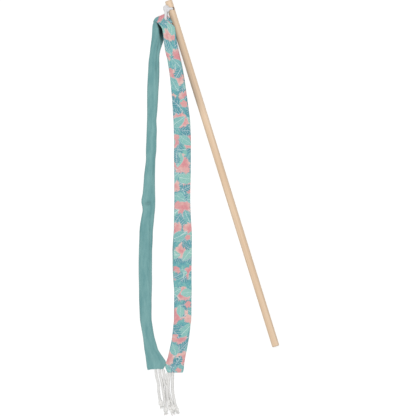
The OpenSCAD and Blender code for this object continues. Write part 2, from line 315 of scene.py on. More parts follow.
class Graph:
    """The nodes of one material, or of the world."""

    def __init__(self, owner):
        self.owner = owner
        owner.use_nodes = True
        self.tree = owner.node_tree
        self.tree.nodes.clear()

    def node(self, kind, settings=None, inputs=None, output=0):
        """Adds a node with its settings and the values or links of its sockets, and gives an output."""
        made = self.tree.nodes.new(kind)
        for key, value in (settings or {}).items():
            setattr(made, key, value)
        for key, value in (inputs or {}).items():
            socket = made.inputs[key]
            if isinstance(value, Term):
                self.tree.links.new(value.socket, socket)
            else:
                socket.default_value = value
        return Term(self, made.outputs[output]) if made.outputs else None

    def mix(self, factor, low, high):
        """The colour between two colours."""
        ends = {k: v if isinstance(v, Term) else (*v, 1) for k, v in ((MIX_LOW, low), (MIX_HIGH, high))}
        inputs = {MIX_FACTOR: factor, **ends}
        return self.node("ShaderNodeMix", {"data_type": "RGBA"}, inputs, MIX_RESULT)

    def vector(self, x, y, z=0.0):
        return self.node("ShaderNodeCombineXYZ", None, {0: x, 1: y, 2: z})

    def parts(self, vector):
        """The three numbers of a vector, as terms."""
        split = self.node("ShaderNodeSeparateXYZ", None, {0: vector}).socket.node
        return [Term(self, split.outputs[k]) for k in range(3)]

    def map(self):
        """The piece's own map in millimetres: across it, and along it."""
        u, v, _ = self.parts(self.node("ShaderNodeUVMap", {"uv_map": UV_NAME}))
        return u / MM, v / MM

    def noise(self, vector, scale, detail=2.0, roughness=0.5):
        inputs = {"Vector": vector, "Scale": scale, "Detail": detail, "Roughness": roughness}
        return self.node("ShaderNodeTexNoise", None, inputs)

    def chance(self, x, y, seed):
        """Three even random numbers that belong to a pair of whole numbers."""
        made = self.node("ShaderNodeTexWhiteNoise", {"noise_dimensions": "3D"},
                         {"Vector": self.vector(x, y, seed)}, "Color")
        return self.parts(made)

    def finish(self, colour, rough, height, depth, **constants):
        """Ends the graph in one surface, with a bump of a depth in metres."""
        bump = self.node("ShaderNodeBump", None, {"Distance": depth, "Height": height})
        inputs = {"Base Color": colour, "Roughness": rough, "Normal": bump}
        inputs.update({k.replace("_", " "): v for k, v in constants.items()})
        surface = self.node("ShaderNodeBsdfPrincipled", None, inputs)
        self.node("ShaderNodeOutputMaterial", None, {"Surface": surface})
        return self.owner


def material_graph(name):
    """The graph of a new material."""
    return Graph(bpy.data.materials.new(name))


# Finishes

# The stick's grain, broad bands and pores: stretch along it, scale, detail and roughness
GRAIN, BANDS, PORES = (0.02, 0.9, 5.0, 0.62), (0.012, 0.33, 3.0, 0.5), (0.06, 7.0, 2.0, 0.6)
# Radians that the growth lines go through from a band's least value to its most
GROWTH_LINES = 26
# Shares of the grain, the growth lines and the bands in the wood's tone, and its darkest and lightest sum
GRAIN_TONE, LINES_TONE, BAND_TONE, WOOD_TONES = 0.55, 0.25, 0.35, (0.32, 0.92)
# Where the finest noise shows as pores, and how strongly
PORE_FROM, PORE_DARK = (0.63, 0.74), 0.22
# Shares of the grain, the pores and the growth lines in its relief, and how deep that is
GRAIN_RISE, PORE_RISE, LINES_RISE, GRAIN_DEPTH = 0.5, 0.4, 0.1, 0.05
# The wood's least roughness, what the grain adds to it, and its shine
WOOD_ROUGH, GRAIN_ROUGH, WOOD_SHINE = 0.5, 0.2, 0.35
# How far in from either end the wood is darkened, and how strongly
END_REACH, END_DARK = (1.3, 0.1), 0.45
# Painted shade down the stick's left side towards the tip, a darker streak: where it begins and ends along
# it, its sides, how far the grain shifts them, and how strong it is
SIDE_SHADE_FROM, SIDE_SHADE_TO = (262, 292), (397, 376)
SIDE_SHADE_EDGES, SIDE_SHADE_WANDER, SIDE_SHADE_DARK = (4, -5), 2, 0.6
# Where the cord's hole is drilled, and its tilt from upright
HOLE_FROM_TIP = 10.0
HOLE_TILT = math.radians(45)
# How far from the hole's axis the wood is darkened, partly as the drill's burn on the rim and partly as
# painted shade inside the hole, how strongly, and at what heights over the stick's middle that begins
BURN_AND_SHADE_REACH, BURN_AND_SHADE_DARK, BURN_AND_SHADE_FROM = (2.0, 1.5), 0.75, (-1, 1)


def wood(settings):
    """Pale sanded dowel: long grain, fine pores, darker ends, a hole with a drill-burnt rim and painted
    shade inside, and painted shade down its left side near the tip.
    """
    g = material_graph("wood")
    x, y, z = (place / MM for place in g.parts(g.node("ShaderNodeTexCoord", output="Object")))
    grain, band, pores = (g.noise(g.vector(x, y * stretch, z), *look)
                          for stretch, *look in (GRAIN, BANDS, PORES))
    lines = (band * GROWTH_LINES).sin() * 0.5 + 0.5
    tone = (grain * GRAIN_TONE + lines * LINES_TONE + band * BAND_TONE).ramp(*WOOD_TONES)
    colour = g.mix(tone, linear(settings.dark), linear(settings.light))
    colour = g.mix(pores.ramp(*PORE_FROM) * PORE_DARK, colour, linear(settings.pore))
    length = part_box("stick")[1].y / MM
    inner, outer = END_REACH
    ends = y.ramp(length - inner, length - outer).most(y.ramp(inner, outer))
    colour = g.mix(ends * END_DARK, colour, linear(settings.pore))
    # Painted shade down the stick's left side near the tip, made uneven by the grain
    reach = y.ramp(*SIDE_SHADE_FROM) * y.ramp(*SIDE_SHADE_TO)
    side = (x + (band - 0.5) * SIDE_SHADE_WANDER).ramp(*SIDE_SHADE_EDGES)
    colour = g.mix(reach * side * SIDE_SHADE_DARK, colour, linear(settings.painted_side_shade))
    # The hole's rim: partly the drill's burn, partly painted shade inside the hole
    off, beside = x * math.cos(HOLE_TILT) - z * math.sin(HOLE_TILT), y - (length - HOLE_FROM_TIP)
    rim_burn_and_shade = (off * off + beside * beside).power(0.5).ramp(*BURN_AND_SHADE_REACH) * z.ramp(*BURN_AND_SHADE_FROM)
    colour = g.mix(rim_burn_and_shade * BURN_AND_SHADE_DARK, colour, linear(settings.burn_and_shade_colour))
    height = grain * GRAIN_RISE + pores * PORE_RISE + lines * LINES_RISE
    return g.finish(colour, grain * GRAIN_ROUGH + WOOD_ROUGH, height, GRAIN_DEPTH * MM,
                    Specular_IOR_Level=WOOD_SHINE)


# How gradually one thread of the weave goes under another
CROSSING = (-0.25, 0.25)
# How finely uneven stretches of thread lie along it and across it, and where in the noise those of the
# threads that run along the ribbon are read
SLUB_LONG, SLUB_FINE, WARP_PLACE = 0.25, 2.6, 7.0
# Shares of the threads and their uneven stretches in a cloth's relief
THREAD_RISE, SLUB_RISE = 0.7, 0.6
# How rough a cloth is and how much it shines, and how strong and how rough its faint fur is
CLOTH_ROUGH, CLOTH_SHINE, CLOTH_FUR, FUR_ROUGH = 0.88, 0.2, 0.15, 0.5
# The plain cloth's soft mottling: how fine across and along, its place in the noise, scale, detail and
# roughness
CLOUD_ACROSS, CLOUD_ALONG, CLOUD_PLACE, CLOUD = 1.5, 0.26, 3.0, (0.14, 3.0, 0.6)
# Shares of threads, uneven stretches and mottling in its tone, and the darkest and the lightest sum
THREAD_TONE, SLUB_TONE, CLOUD_TONE, PLAIN_TONES = 0.2, 0.4, 0.9, (0.38, 1.12)


def weave(u, v, pitch):
    """The height of a plain weave of threads a pitch apart, from 0 to 1."""
    across, along = (u * (math.pi / pitch)).sin(), (v * (math.pi / pitch)).sin()
    over = (across * along).ramp(*CROSSING)
    return across.abs() * over + along.abs() * (1 - over)


def warp_slubs(g, u, v):
    """Uneven threads that run along the ribbon."""
    return g.noise(g.vector(u * SLUB_FINE, v * SLUB_LONG, WARP_PLACE), 1.0, 2.0)


def weft_slubs(g, u, v):
    """Uneven threads that run across the ribbon."""
    return g.noise(g.vector(u * SLUB_LONG, v * SLUB_FINE), 1.0, 2.0)


def cotton_finish(g, settings, colour, threads, slub):
    """Ends a cotton cloth's graph: matt and faintly furred, with the height of its threads."""
    height = threads * THREAD_RISE + slub * SLUB_RISE
    return g.finish(colour, CLOTH_ROUGH, height, settings.weave_depth, Specular_IOR_Level=CLOTH_SHINE,
                    Sheen_Weight=CLOTH_FUR, Sheen_Roughness=FUR_ROUGH)


def plain_cloth(settings):
    """Dyed cotton: plain weave, uneven threads, soft mottling, and painted shade deep between folds and in
    creases.
    """
    g = material_graph("plain_cloth")
    u, v = g.map()
    threads = weave(u, v, settings.thread / MM)
    slub = weft_slubs(g, u, v) * 0.5 + warp_slubs(g, u, v) * 0.5
    cloud = g.noise(g.vector(u * CLOUD_ACROSS, v * CLOUD_ALONG, CLOUD_PLACE), *CLOUD)
    tone = (threads * THREAD_TONE + slub * SLUB_TONE + cloud * CLOUD_TONE).ramp(*PLAIN_TONES)
    colour = g.mix(tone, linear(settings.plain_dark), linear(settings.plain_light))
    # Painted shade deep in the fold's hollow and in the left leg's creases and dimples, read from the vertex
    # attribute
    painted_shade = g.node("ShaderNodeAttribute", {"attribute_name": PAINTED_SHADE_NAME}, output="Fac")
    colour = g.mix(painted_shade, colour, linear(settings.plain_painted_shade))
    return cotton_finish(g, settings, colour, threads, slub)


# Layers of the print, the lowest first: a cell's width and height, how far its pattern is shifted across
# and along, and a number that makes its chances its own
FRONDS = (18.0, 20.0, (3.0, 2.0), 1.0)
BLOSSOMS = (19.0, 24.0, (9.0, 12.0), 4.0)
LEAVES = (16.0, 21.0, (1.0, 6.0), 3.0)
SMALL_FRONDS = (17.0, 32.0, (12.0, 19.0), 5.0)
SMALL_BLOSSOMS = (21.0, 37.0, (6.0, 9.0), 7.0)
TWIGS = (18.0, 23.0, (7.0, 3.0), 6.0)
# Half the length and half the breadth of a frond, a small frond and a leaf, and a blossom's reach
FROND, SMALL_FROND, LEAF = (10.0, 7.6), (6.6, 4.6), (8.8, 4.8)
BLOSSOM, SMALL_BLOSSOM = 9.8, 4.4
# The least scale of a motif, and what chance may add to it
LEAST_GROWN, GROWS = 0.85, 0.35
# How soft the outlines of fronds, small fronds, both kinds of blossoms, and leaves are
FROND_EDGE, SMALL_EDGE = (-0.15, 0.4), (-0.1, 0.35)
BLOSSOM_EDGE, BUD_EDGE, LEAF_EDGE = (-0.2, 0.4), (-0.1, 0.4), (-0.15, 0.35)
# Fingers of a frond, in radians to a millimetre, and how far they lean forward
FINGERS, FINGER_LEAN = 2.3, 0.8
# The power that rounds a frond's outline, less being fuller, and the shares of its breadth that its
# fingers and what they grow from make
FROND_FULL, FINGER_SHARE, PALM_SHARE = 0.6, 0.45, 0.65
# Share of the fingers in a frond's tone, and where that goes from one blue to the other
FINGER_TONE, FROND_TONES = 0.5, (0.45, 1.2)
# Where a frond's ribs and gaps begin beside its midrib
BESIDE_MIDRIB = (0.2, 1.2)
# The edges of a frond's ribs, gaps and midrib, and how strongly each of them shows
RIB, GAP, MIDRIB = ((0.2, 0.9), 0.4), ((0.26, 0.02), 0.6), ((0.5, 0.2), 0.65)
# How much slimmer a leaf is towards its tip, and the edges of its midrib
LEAF_TAPER, LEAF_RIB = 0.3, (0.34, 0.12)
# Side veins of a leaf: how far apart they are, how far they lean forward, and their edges
VEIN_STEP, VEIN_LEAN, VEIN_EDGE = 1.9, 1.3, (0.16, 0.05)
# How strongly a leaf's side veins, its midrib and its pale rim show, and the rim's edges
VEIN_SHOWS, RIB_SHOWS, RIM_SHOWS, RIM_EDGE = 0.4, 0.75, 0.35, (-0.75, -0.35)
# Petals of a blossom and the rays on them, how far the petals wind, in radians to a millimetre, and how
# far the rays waver, in radians
PETALS, RAYS, PETAL_WIND, RAY_WAVER = 5, 17, 0.12, 20
# Shares of the petals, their ruffle and the blossom's middle in its reach
PETAL_SHARE, RUFFLE_SHARE, MIDDLE_SHARE = 0.26, 0.7, 0.4
# A twig: where it fades along its half length, its wave in radians to a millimetre and how far that
# reaches, and where its side fades
TWIG_ENDS, TWIG_WAVE, TWIG_REACH, TWIG_SIDES = (4.6, 3.2), 0.35, 1.1, (0.42, 0.16)
# How strongly a twig shows
TWIG_SHOWS = 0.85
# The print's broad, fine and finest noise and its mottling: place, scale, detail, and the roughness
# where it isn't the usual one
WASH, FINE, GRIT, MOTTLE = (11.0, 0.2, 3.0, 0.6), (5.0, 0.75, 2.0), (8.0, 2.6, 2.0), (21.0, 1.3, 3.0, 0.6)
# How far the print's broad and fine noise shift the motifs, and how much more the broad one does along
WASH_PUSH, FINE_PUSH, ALONG_PUSH = 3.0, 1.1, 1.2
# The ground: share of the fine noise in its tone, and where that goes from mint to sea
GROUND_FINE, GROUND_TONES = 0.4, (0.5, 0.85)
# Brush strokes on it: their direction, how fine they are, their edges and how strongly they show
STROKE_WAY, STROKE_FINE, STROKE_EDGE, STROKE_SHOWS = (0.8, 0.45), 2.2, (0.55, 1.0), 0.35
# Share of a frond's own tone in its patches, and that of the finest noise on both kinds
PATCH_TONE, FROND_GRIT, SMALL_GRIT = 0.4, 0.5, 0.4
# How much less ruffled blossoms are where the broad noise is high, and small ones everywhere
LESS_RUFFLED, BUD_LESS = 0.3, 0.3
# A blossom's blush: shares of broad noise, own tone, way out and finest noise, and its two ends
BLUSH_WASH, BLUSH_TONE, BLUSH_OUT, BLUSH_GRIT, BLUSH = 1.7, 0.6, 0.5, 0.3, (0.6, 1.35)
# Its pale rays: share of the finest noise, edges, and how strongly they show
RAY_GRIT, RAY_EDGE, RAY_SHOWS = 0.3, (0.55, 1.0), 0.45
# The line that follows its outline: outer edge, inner edge, and how strongly it shows
LINE_OUTER, LINE_INNER, LINE_SHOWS = (0.0, 0.5), (1.3, 0.6), 0.2
# Shares of rays and of its own tone in a small blossom's colour
BUD_RAYS, BUD_TONE = 0.4, 0.4
# A leaf's tone: shares of its own one and of broad and finest noise, what veins take off, and its ends
LEAF_TONE, LEAF_WASH, LEAF_GRIT, LEAF_VEINS, LEAF_TONES = 0.4, 0.4, 0.4, 0.2, (0.4, 1.0)
# Where the mottling pales the print, and how strongly
MOTTLE_EDGE, MOTTLE_SHOWS = (0.48, 0.72), 0.26
# The weave's grooves: shares of threads and uneven stretches, edges, and how strongly they show
GROOVE_THREAD, GROOVE_SLUB, GROOVE_EDGE, GROOVE_SHOWS = 0.5, 0.6, (0.9, 0.1), 0.12


def motif_cell(g, u, v, wide, tall, shift, seed):
    """A place in a brick pattern of cells, turned at random about each cell's middle, in millimetres."""
    b = (v + shift[1]) / tall
    row = b.floor()
    a = (u + shift[0]) / wide + (row * 0.5).fract()
    column = a.floor()
    x, y = (a - column - 0.5) * wide, (b - row - 0.5) * tall
    turn, size, tone = g.chance(column, row, seed)
    angle = turn * (2 * math.pi)
    c, s = angle.cos(), angle.sin()
    grown = size * GROWS + LEAST_GROWN
    return (x * c + y * s) / grown, (y * c - x * s) / grown, tone


def leaf(x, y, long, broad):
    """A pointed oval leaf: how far inside its outline, its midrib and its fine side veins."""
    share = x / long
    body = (1 - share * share) * broad * (1 - share * LEAF_TAPER)
    inside = body - y.abs()
    rib = y.abs().ramp(*LEAF_RIB)
    veins = ((((x - y.abs() * VEIN_LEAN) / VEIN_STEP).fract() - 0.5).abs()).ramp(*VEIN_EDGE)
    return inside, rib, veins


def frond(x, y, long, broad):
    """A broad leaf with rounded fingers that lean forward, and the dark rays between them."""
    share = x / long
    fingers = ((x - y.abs() * FINGER_LEAN) * FINGERS).sin() * 0.5 + 0.5
    body = (1 - share * share).most(0.0).power(FROND_FULL) * broad * (fingers * FINGER_SHARE + PALM_SHARE)
    return body - y.abs(), fingers


def frond_shade(g, x, y, fingers, patch, colours):
    """A frond's colour: patches of two blues, mint ribs, pale gaps between fingers and a pale midrib."""
    deep, sea, mint, pale = colours
    (rib_edge, rib_shows), (gap_edge, gap_shows), (midrib_edge, midrib_shows) = RIB, GAP, MIDRIB
    side = y.abs().ramp(*BESIDE_MIDRIB)
    shade = g.mix((fingers * FINGER_TONE + patch).ramp(*FROND_TONES), deep, sea)
    ribs = ((x - y.abs() * FINGER_LEAN) * (2 * FINGERS)).sin().ramp(*rib_edge)
    shade = g.mix(ribs * side * rib_shows, shade, mint)
    shade = g.mix(fingers.ramp(*gap_edge) * side * gap_shows, shade, pale)
    return g.mix(y.abs().ramp(*midrib_edge) * midrib_shows, shade, pale)


def blossom(x, y, ruffle, reach):
    """A flower of broad, ruffled petals: how far inside its outline, its rays, and the way out."""
    r = (x * x + y * y).power(0.5)
    angle = y.math("ARCTAN2", x)
    petals = (angle * (PETALS / 2) + r * PETAL_WIND).cos().abs().power(0.5)
    inside = (petals * PETAL_SHARE + ruffle * RUFFLE_SHARE + MIDDLE_SHARE) * reach - r
    rays = (angle * RAYS + ruffle * RAY_WAVER).sin() * 0.5 + 0.5
    return inside, rays, r / reach


def print_cloth(settings):
    """Printed cotton: leaves, fronds, blossoms and pale twigs of our own drawing, scattered densely."""
    g = material_graph("print_cloth")
    u, v = g.map()
    wash, fine, grit, mottle = (g.noise(g.vector(u, v, place), *look)
                                for place, *look in (WASH, FINE, GRIT, MOTTLE))
    bend, waver = (wash - 0.5) * WASH_PUSH, (fine - 0.5) * FINE_PUSH
    uu, vv = u + bend + waver, v + bend * ALONG_PUSH + waver
    deep, sea, mint = (linear(c) for c in (settings.deep, settings.sea, settings.mint))
    salmon, coral, pale = (linear(c) for c in (settings.salmon, settings.coral, settings.pale))

    def frond_layer(under, cells, size, grit_share, edge):
        """A layer of fronds over a colour, speckled by a share of the finest noise."""
        x, y, tone = motif_cell(g, uu, vv, *cells)
        inside, fingers = frond(x, y, *size)
        patch = tone * PATCH_TONE + grit * grit_share
        shade = frond_shade(g, x, y, fingers, patch, (deep, sea, mint, pale))
        return g.mix(inside.ramp(*edge), under, shade)

    colour = g.mix((wash + fine * GROUND_FINE).ramp(*GROUND_TONES), mint, sea)
    slant = uu * STROKE_WAY[0] + vv * STROKE_WAY[1]
    strokes = ((slant * STROKE_FINE).sin() * 0.5 + fine).ramp(*STROKE_EDGE)
    colour = g.mix(strokes * STROKE_SHOWS, colour, sea)
    colour = frond_layer(colour, FRONDS, FROND, FROND_GRIT, FROND_EDGE)

    x, y, tone = motif_cell(g, uu, vv, *BLOSSOMS)
    inside, rays, out = blossom(x, y, fine - wash * LESS_RUFFLED, BLOSSOM)
    blush = wash * BLUSH_WASH + tone * BLUSH_TONE - out * BLUSH_OUT + grit * BLUSH_GRIT
    shade = g.mix(blush.ramp(*BLUSH), salmon, coral)
    shade = g.mix((rays * out + grit * RAY_GRIT).ramp(*RAY_EDGE) * RAY_SHOWS, shade, pale)
    colour = g.mix(inside.ramp(*BLOSSOM_EDGE), colour, shade)
    line = inside.ramp(*LINE_OUTER) * inside.ramp(*LINE_INNER)
    colour = g.mix(line * LINE_SHOWS, colour, coral)

    x, y, tone = motif_cell(g, uu, vv, *LEAVES)
    inside, rib, veins = leaf(x, y, *LEAF)
    green = tone * LEAF_TONE + wash * LEAF_WASH + grit * LEAF_GRIT - veins * LEAF_VEINS
    shade = g.mix(green.ramp(*LEAF_TONES), mint, sea)
    shade = g.mix((veins * VEIN_SHOWS).most(rib * RIB_SHOWS), shade, pale)
    colour = g.mix(inside.ramp(*RIM_EDGE) * RIM_SHOWS, colour, pale)
    colour = g.mix(inside.ramp(*LEAF_EDGE), colour, shade)
    colour = frond_layer(colour, SMALL_FRONDS, SMALL_FROND, SMALL_GRIT, SMALL_EDGE)

    x, y, tone = motif_cell(g, uu, vv, *SMALL_BLOSSOMS)
    inside, rays, _ = blossom(x, y, fine - BUD_LESS, SMALL_BLOSSOM)
    shade = g.mix(rays * BUD_RAYS + tone * BUD_TONE, coral, salmon)
    colour = g.mix(inside.ramp(*BUD_EDGE), colour, shade)

    x, y, tone = motif_cell(g, u, v, *TWIGS)
    stem = (y - (x * TWIG_WAVE).sin() * TWIG_REACH).abs().ramp(*TWIG_SIDES) * x.abs().ramp(*TWIG_ENDS)
    colour = g.mix(stem * TWIG_SHOWS, colour, pale)

    colour = g.mix(mottle.ramp(*MOTTLE_EDGE) * MOTTLE_SHOWS, colour, pale)
    threads = weave(u, v, settings.thread / MM)
    slub = weft_slubs(g, u, v)
    grooves = (threads * GROOVE_THREAD + slub * GROOVE_SLUB).ramp(*GROOVE_EDGE)
    colour = g.mix(grooves * GROOVE_SHOWS, colour, linear(settings.groove))
    return cotton_finish(g, settings, colour, threads, slub)


# A cord's yarns, in radians to a millimetre of its girth
YARNS = 7.5
# How finely its fibres lie across it, how far they lean, how finely they lie along it, and their noise's
# scale, detail and roughness
FIBRE_FINE, FIBRE_LEAN, FIBRE_LONG, FIBRES = 5.0, 2.0, 0.9, (1.0, 3.0, 0.65)
# Shares of yarns and fibres in a cord's tone, and its darkest and lightest sum
YARN_TONE, FIBRE_TONE, CORD_TONES = 0.35, 0.75, (0.2, 0.9)
# Shares of yarns and fibres in its relief, and how deep that is
YARN_RISE, FIBRE_RISE, FIBRE_DEPTH = 0.6, 0.6, 0.12
# How rough a cord is and how much it shines, and how strong and how rough its fluff is
CORD_ROUGH, CORD_SHINE, CORD_FLUFF, FLUFF_ROUGH = 0.92, 0.15, 0.2, 0.6


def cotton_cord(name, light, dark, wind):
    """Twisted cotton: yarns that wind round the cord, and darker grooves between them."""
    g = material_graph(name)
    u, v = g.map()
    yarn = (u * YARNS + v * wind).sin() * 0.5 + 0.5
    fibre = g.noise(g.vector(u * FIBRE_FINE + v * FIBRE_LEAN, v * FIBRE_LONG), *FIBRES)
    tone = (yarn * YARN_TONE + fibre * FIBRE_TONE).ramp(*CORD_TONES)
    colour = g.mix(tone, linear(dark), linear(light))
    height = yarn * YARN_RISE + fibre * FIBRE_RISE
    return g.finish(colour, CORD_ROUGH, height, FIBRE_DEPTH * MM, Specular_IOR_Level=CORD_SHINE,
                    Sheen_Weight=CORD_FLUFF, Sheen_Roughness=FLUFF_ROUGH)


# The ribbon

# Width of the flat tube, thickness of its cloth, and the most of half the space inside that it takes up
RIBBON_FLAT = 22.0
CLOTH, CLOTH_SHARE = 0.35, 0.7
# Places along either leg where its fold piece ends, and where its fold begins to turn over
CUTS = {"right_leg": 12.0, "left_leg": 18.0}
STARTS = {"right_leg": 9.0, "left_leg": 7.0}
# Columns across one strip and across the tube's middle, millimetres from row to row along a leg, and
# rows on either side of the fold and in the half of its turn
COLUMNS, MID_COLUMNS = 48, 73
ROW_STEP = 1.0
FOLD_ROWS, TURN_ROWS = 18, 7
# Half the space between the two strips at the fold and along the legs, and where it widens
GAP_FOLD, GAP_LEG, GAP_WIDENS = 0.7, 0.95, (8, 50)
# Length over which a leg's strips come together at its end, and the least share of the space there
CLOSING, LEAST_CLOSING = 1.2, 0.02
# How far an edge that curls under turns round, in radians, and where a leg comes to that
CURL, CURL_COMES = 2.65, (8, 40)
# The curl's radius at the fold, and on the legs' left and right edges as a share of what fills the
# leg's thickness
FOLD_ROLL = 0.75
ROLL_SHARES = {"right_leg": (1.0, 1.0), "left_leg": (0.86, 1.0)}
# Share of the curl that is left at the fold
LEAST_CURL = {"right_leg": 1.0, "left_leg": 0.05}
# How much wider than deep the right edge's curl is, the share of that which is there all along, and
# where the rest comes and goes
SLOPES = {"right_leg": 0.0, "left_leg": 2.4}
LEAST_SLOPE, SLOPE_COMES, SLOPE_GOES = 0.6, (2, 10), (45, 90)
# The least flat stretch on either side of the tube's middle, and rounds that settle it
LEAST_FLAT, SETTLING = 0.4, 4
# How far a leg's end reaches past its length at shares of its width from left to right, and the
# stretch of the leg that this takes up
ENDS = {
    "right_leg": ((-1, -0.8, 0.8, 1), (-1.2, 0, 0, -0.6)),
    "left_leg": ((-1, -0.85, -0.5, 0.3, 0.65, 0.88, 1), (-0.4, 0.9, -0.1, -0.6, -0.2, -0.4, -2.6)),
}
END_STRETCH = 14
# How far a leg's left and right edges shift at places along it
SHIFTS = {
    "right_leg": (
        ((9, 10, 11, 13, 374, 381, 385, 389), (-0.9, -0.6, -0.3, 0, 0, -0.9, -0.9, -0.2)),
        ((168, 182, 218, 236, 340, 350, 390), (0, -0.5, -0.5, 0, 0, 0.3, 0.2)),
    ),
    "left_leg": (
        ((10, 20, 36, 46, 172, 186, 193, 198, 203, 207, 212, 217, 225, 372, 380, 386),
         (0, 0.5, 0.5, 0, 0, 0.5, 0.5, -0.1, -0.3, 0.5, 0.7, 0.3, 0, 0, -0.6, -0.8)),
        ((16, 24, 38, 48, 300, 316, 330, 344, 350, 356, 366, 374, 378.4, 380.8, 383, 385),
         (0, -1.0, -1.1, 0, 0, -0.4, -0.8, -1.1, -0.9, -0.6, -0.6, -0.2, 1.0, 1.0, 0.8, 0.2)),
    ),
}
# The left leg's lengthwise creases: along, across, depth there and width
CREASES = (
    ((16, 24, 37, 47, 70, 95), (-7.6, -8.4, -10.8, -11.6, -11.2, -10.4), (0, 1.0, 1.0, 0.8, 0.6, 0), 0.7),
    ((26, 34, 48, 70, 110), (-4.6, -6.2, -8.2, -8.6, -10.2), (0, 0.8, 0.7, 0.6, 0), 0.7),
    ((120, 160, 190, 196), (-12.6, -14.2, -15.6, -16.6), (0, 0.5, 0.4, 0), 0.7),
    ((205, 230, 300, 360), (-17.6, -18.6, -18.8, -9.4), (0, 0.6, 0.5, 0), 0.7),
)
# The hollow beside the right leg, which deepens towards the right
POCKET = ((4, 7, 10, 17, 24, 30), (-10.6, -9.4, -8.2, -7.4, -6.6, -6.2), (0, 1.8, 2.9, 2.9, 1.4, 0), 0.9)
# Where the painted shade in that hollow begins, along and across, and how strong it is there
SHADE = ((-1, 0.5, 4.5, 9.9, 14.8, 21.8, 31), (-12.4, -11.6, -10.4, -8.4, -7.8, -6.8, -5.6),
         (0, 0.9, 1, 1, 1, 0.75, 0))
# The left leg's dimples and swellings: across, along, reach in either direction and depth
DIMPLES = (
    (-20.8, 203.4, 3.6, 2.1, 1.5), (-18.6, 201.4, 2.2, 1.6, 0.5), (-23.2, 198.6, 2.4, 4.0, -0.7),
    (-13.4, 156.0, 1.8, 5.0, -0.6), (-13.6, 322.6, 2.4, 1.9, 1.3), (-11.6, 320.2, 1.8, 1.6, 0.9),
)
# How far across from its start the painted shade begins and is full, and the painted shade of a crease 1 mm
# deep
SHADE_EDGE, CREASE_SHADE = (-0.7, 1.1), 0.16
# How far over the surface the left leg's lower strip stays where the upper one sinks
LEAST_LIFT = 0.1
# Four times how far the right leg's left edge bulges over the hollow
LIP = 4.2
# The crest of the fold, from the ribbon's left edge to its right one: across, along, and the heights
# of the layers over and under it
CREST = np.array([
    (-14.3, 1.8, 5.6, 3.4), (-12.8, -0.8, 6.3, 3.6), (-9.7, -2.8, 7.0, 3.9), (-6.3, -3.7, 7.5, 4.1),
    (-3.4, -4.8, 7.8, 4.2), (-0.8, -5.9, 8.0, 4.3), (2.0, -3.7, 8.1, 4.3), (4.6, -0.6, 8.1, 4.2),
    (7.2, 3.0, 7.9, 4.0),
])
# The shares of the crest's width over which its left part folds lengthwise, and the way inwards there
LENGTHWISE, LEFT_INWARD = (-1, -0.3), (1, 0.1)
# Passes that soften the crest, the legs' outlines, the shifts of their edges, and the cloth's normals
CREST_PASSES, LEG_PASSES, SHIFT_PASSES, NORMAL_PASSES = 40, 3, 1, 2
# Where the hanger cord presses the right leg: across, along, reach and depth, and the heights between
# which the cloth feels it
TIE, TIE_HEIGHTS = (-0.2, 0.2, 2.3, 1.2), (4.6, 5.6)
# The fewest points of a leg's solids that make one of their stations
STATION_POINTS = 14


def solid_points(node):
    """The corners of a frame's node, in metres."""
    return np.array([v.co for v in frame["nodes"][node].data.vertices], float)


def leg_outline(leg):
    """Stations of a leg's two solids: along, left and right edge, their heights, and thickness."""
    points = np.vstack([to_ribbon(solid_points(f"{leg}_{face}")) for face in ("print", "plain")])
    places = np.round(points[:, 1], 2)
    rows = []
    for place in np.unique(places):
        ring = points[places == place]
        if len(ring) >= STATION_POINTS:
            left, right = ring[ring[:, 0].argmin()], ring[ring[:, 0].argmax()]
            rise = ring[:, 2] - np.interp(ring[:, 0], (left[0], right[0]), (left[2], right[2]))
            rows.append((place, left[0], right[0], left[2], right[2], np.ptp(rise)))
    return np.array(rows)


def softened(values, passes):
    """Values with their kinks rounded off, and their ends kept."""
    v = np.array(values, float)
    for _ in range(passes):
        v[1:-1] = (v[:-2] + 2 * v[1:-1] + v[2:]) / 4
    return v


def along_leg(outline, places):
    """The outline's edges, heights and thickness at even places along a leg, as smooth curves."""
    at, *values = outline.T
    return [softened(np.interp(places, at, value), LEG_PASSES) for value in values]


def ease(x, low, high):
    """0 below low, 1 above high and smooth between them."""
    t = np.clip((x - low) / (high - low), 0, 1)
    return t * t * (3 - 2 * t)


def curled(q, width, rolls, gap, curl, slope):
    """The middle of a flat tube whose edges curl under, at shares q from its left edge to its right.

    slope is how much wider than deep the right edge's curl is.
    """
    x, z = np.empty_like(q), np.empty_like(q)
    for k, share in enumerate(q):
        r, way, wide = (rolls[0], -1, rolls[0]) if share < 0 else (rolls[1], 1, rolls[1] + slope)
        steep, mean = min(curl, math.pi / 2), (r + wide) / 2
        flat = width / 2
        for _ in range(SETTLING):
            edge_share = (flat + mean * steep) / (flat + mean * curl)
            beside = gap * math.sqrt(max(0.0, 1 - edge_share**2))
            flat = max(LEAST_FLAT, width / 2 - (wide + beside) * math.sin(steep))
        run = abs(share) * min(RIBBON_FLAT / 2, flat + mean * curl)
        angle = max(0.0, run - flat) / mean
        x[k] = way * (min(run, flat) + wide * math.sin(angle))
        z[k] = -r * (1 - math.cos(angle))
    return x, z


def creased(across, along):
    """How deep the left leg's creases and dimples are at places on it."""
    deep = sum(np.interp(along, vs, ds) * np.exp(-((across - np.interp(along, vs, us)) / wide) ** 2)
               for vs, us, ds, wide in CREASES)
    return deep + sum(d * np.exp(-((across - u) / wide) ** 2 - ((along - v) / long) ** 2)
                      for u, v, wide, long, d in DIMPLES)


def dip(across, along):
    """How far the left leg's cloth sinks at places across it."""
    vs, us, ds, wide = POCKET
    start = np.interp(along, vs, us)
    return creased(across, along) + np.interp(along, vs, ds) * ease(across, start - wide, start + wide)


def painted_fold_shade(across, along):
    """How much painted shade places on the left leg get, from 0 to 1: deep in the fold's hollow, and in its
    creases and dimples.
    """
    vs, us, ds = SHADE
    start = np.interp(along, vs, us)
    shade = np.interp(along, vs, ds) * ease(across, start + SHADE_EDGE[0], start + SHADE_EDGE[1])
    return np.clip(shade + CREASE_SHADE * np.clip(creased(across, along), 0, 1), 0, 1)


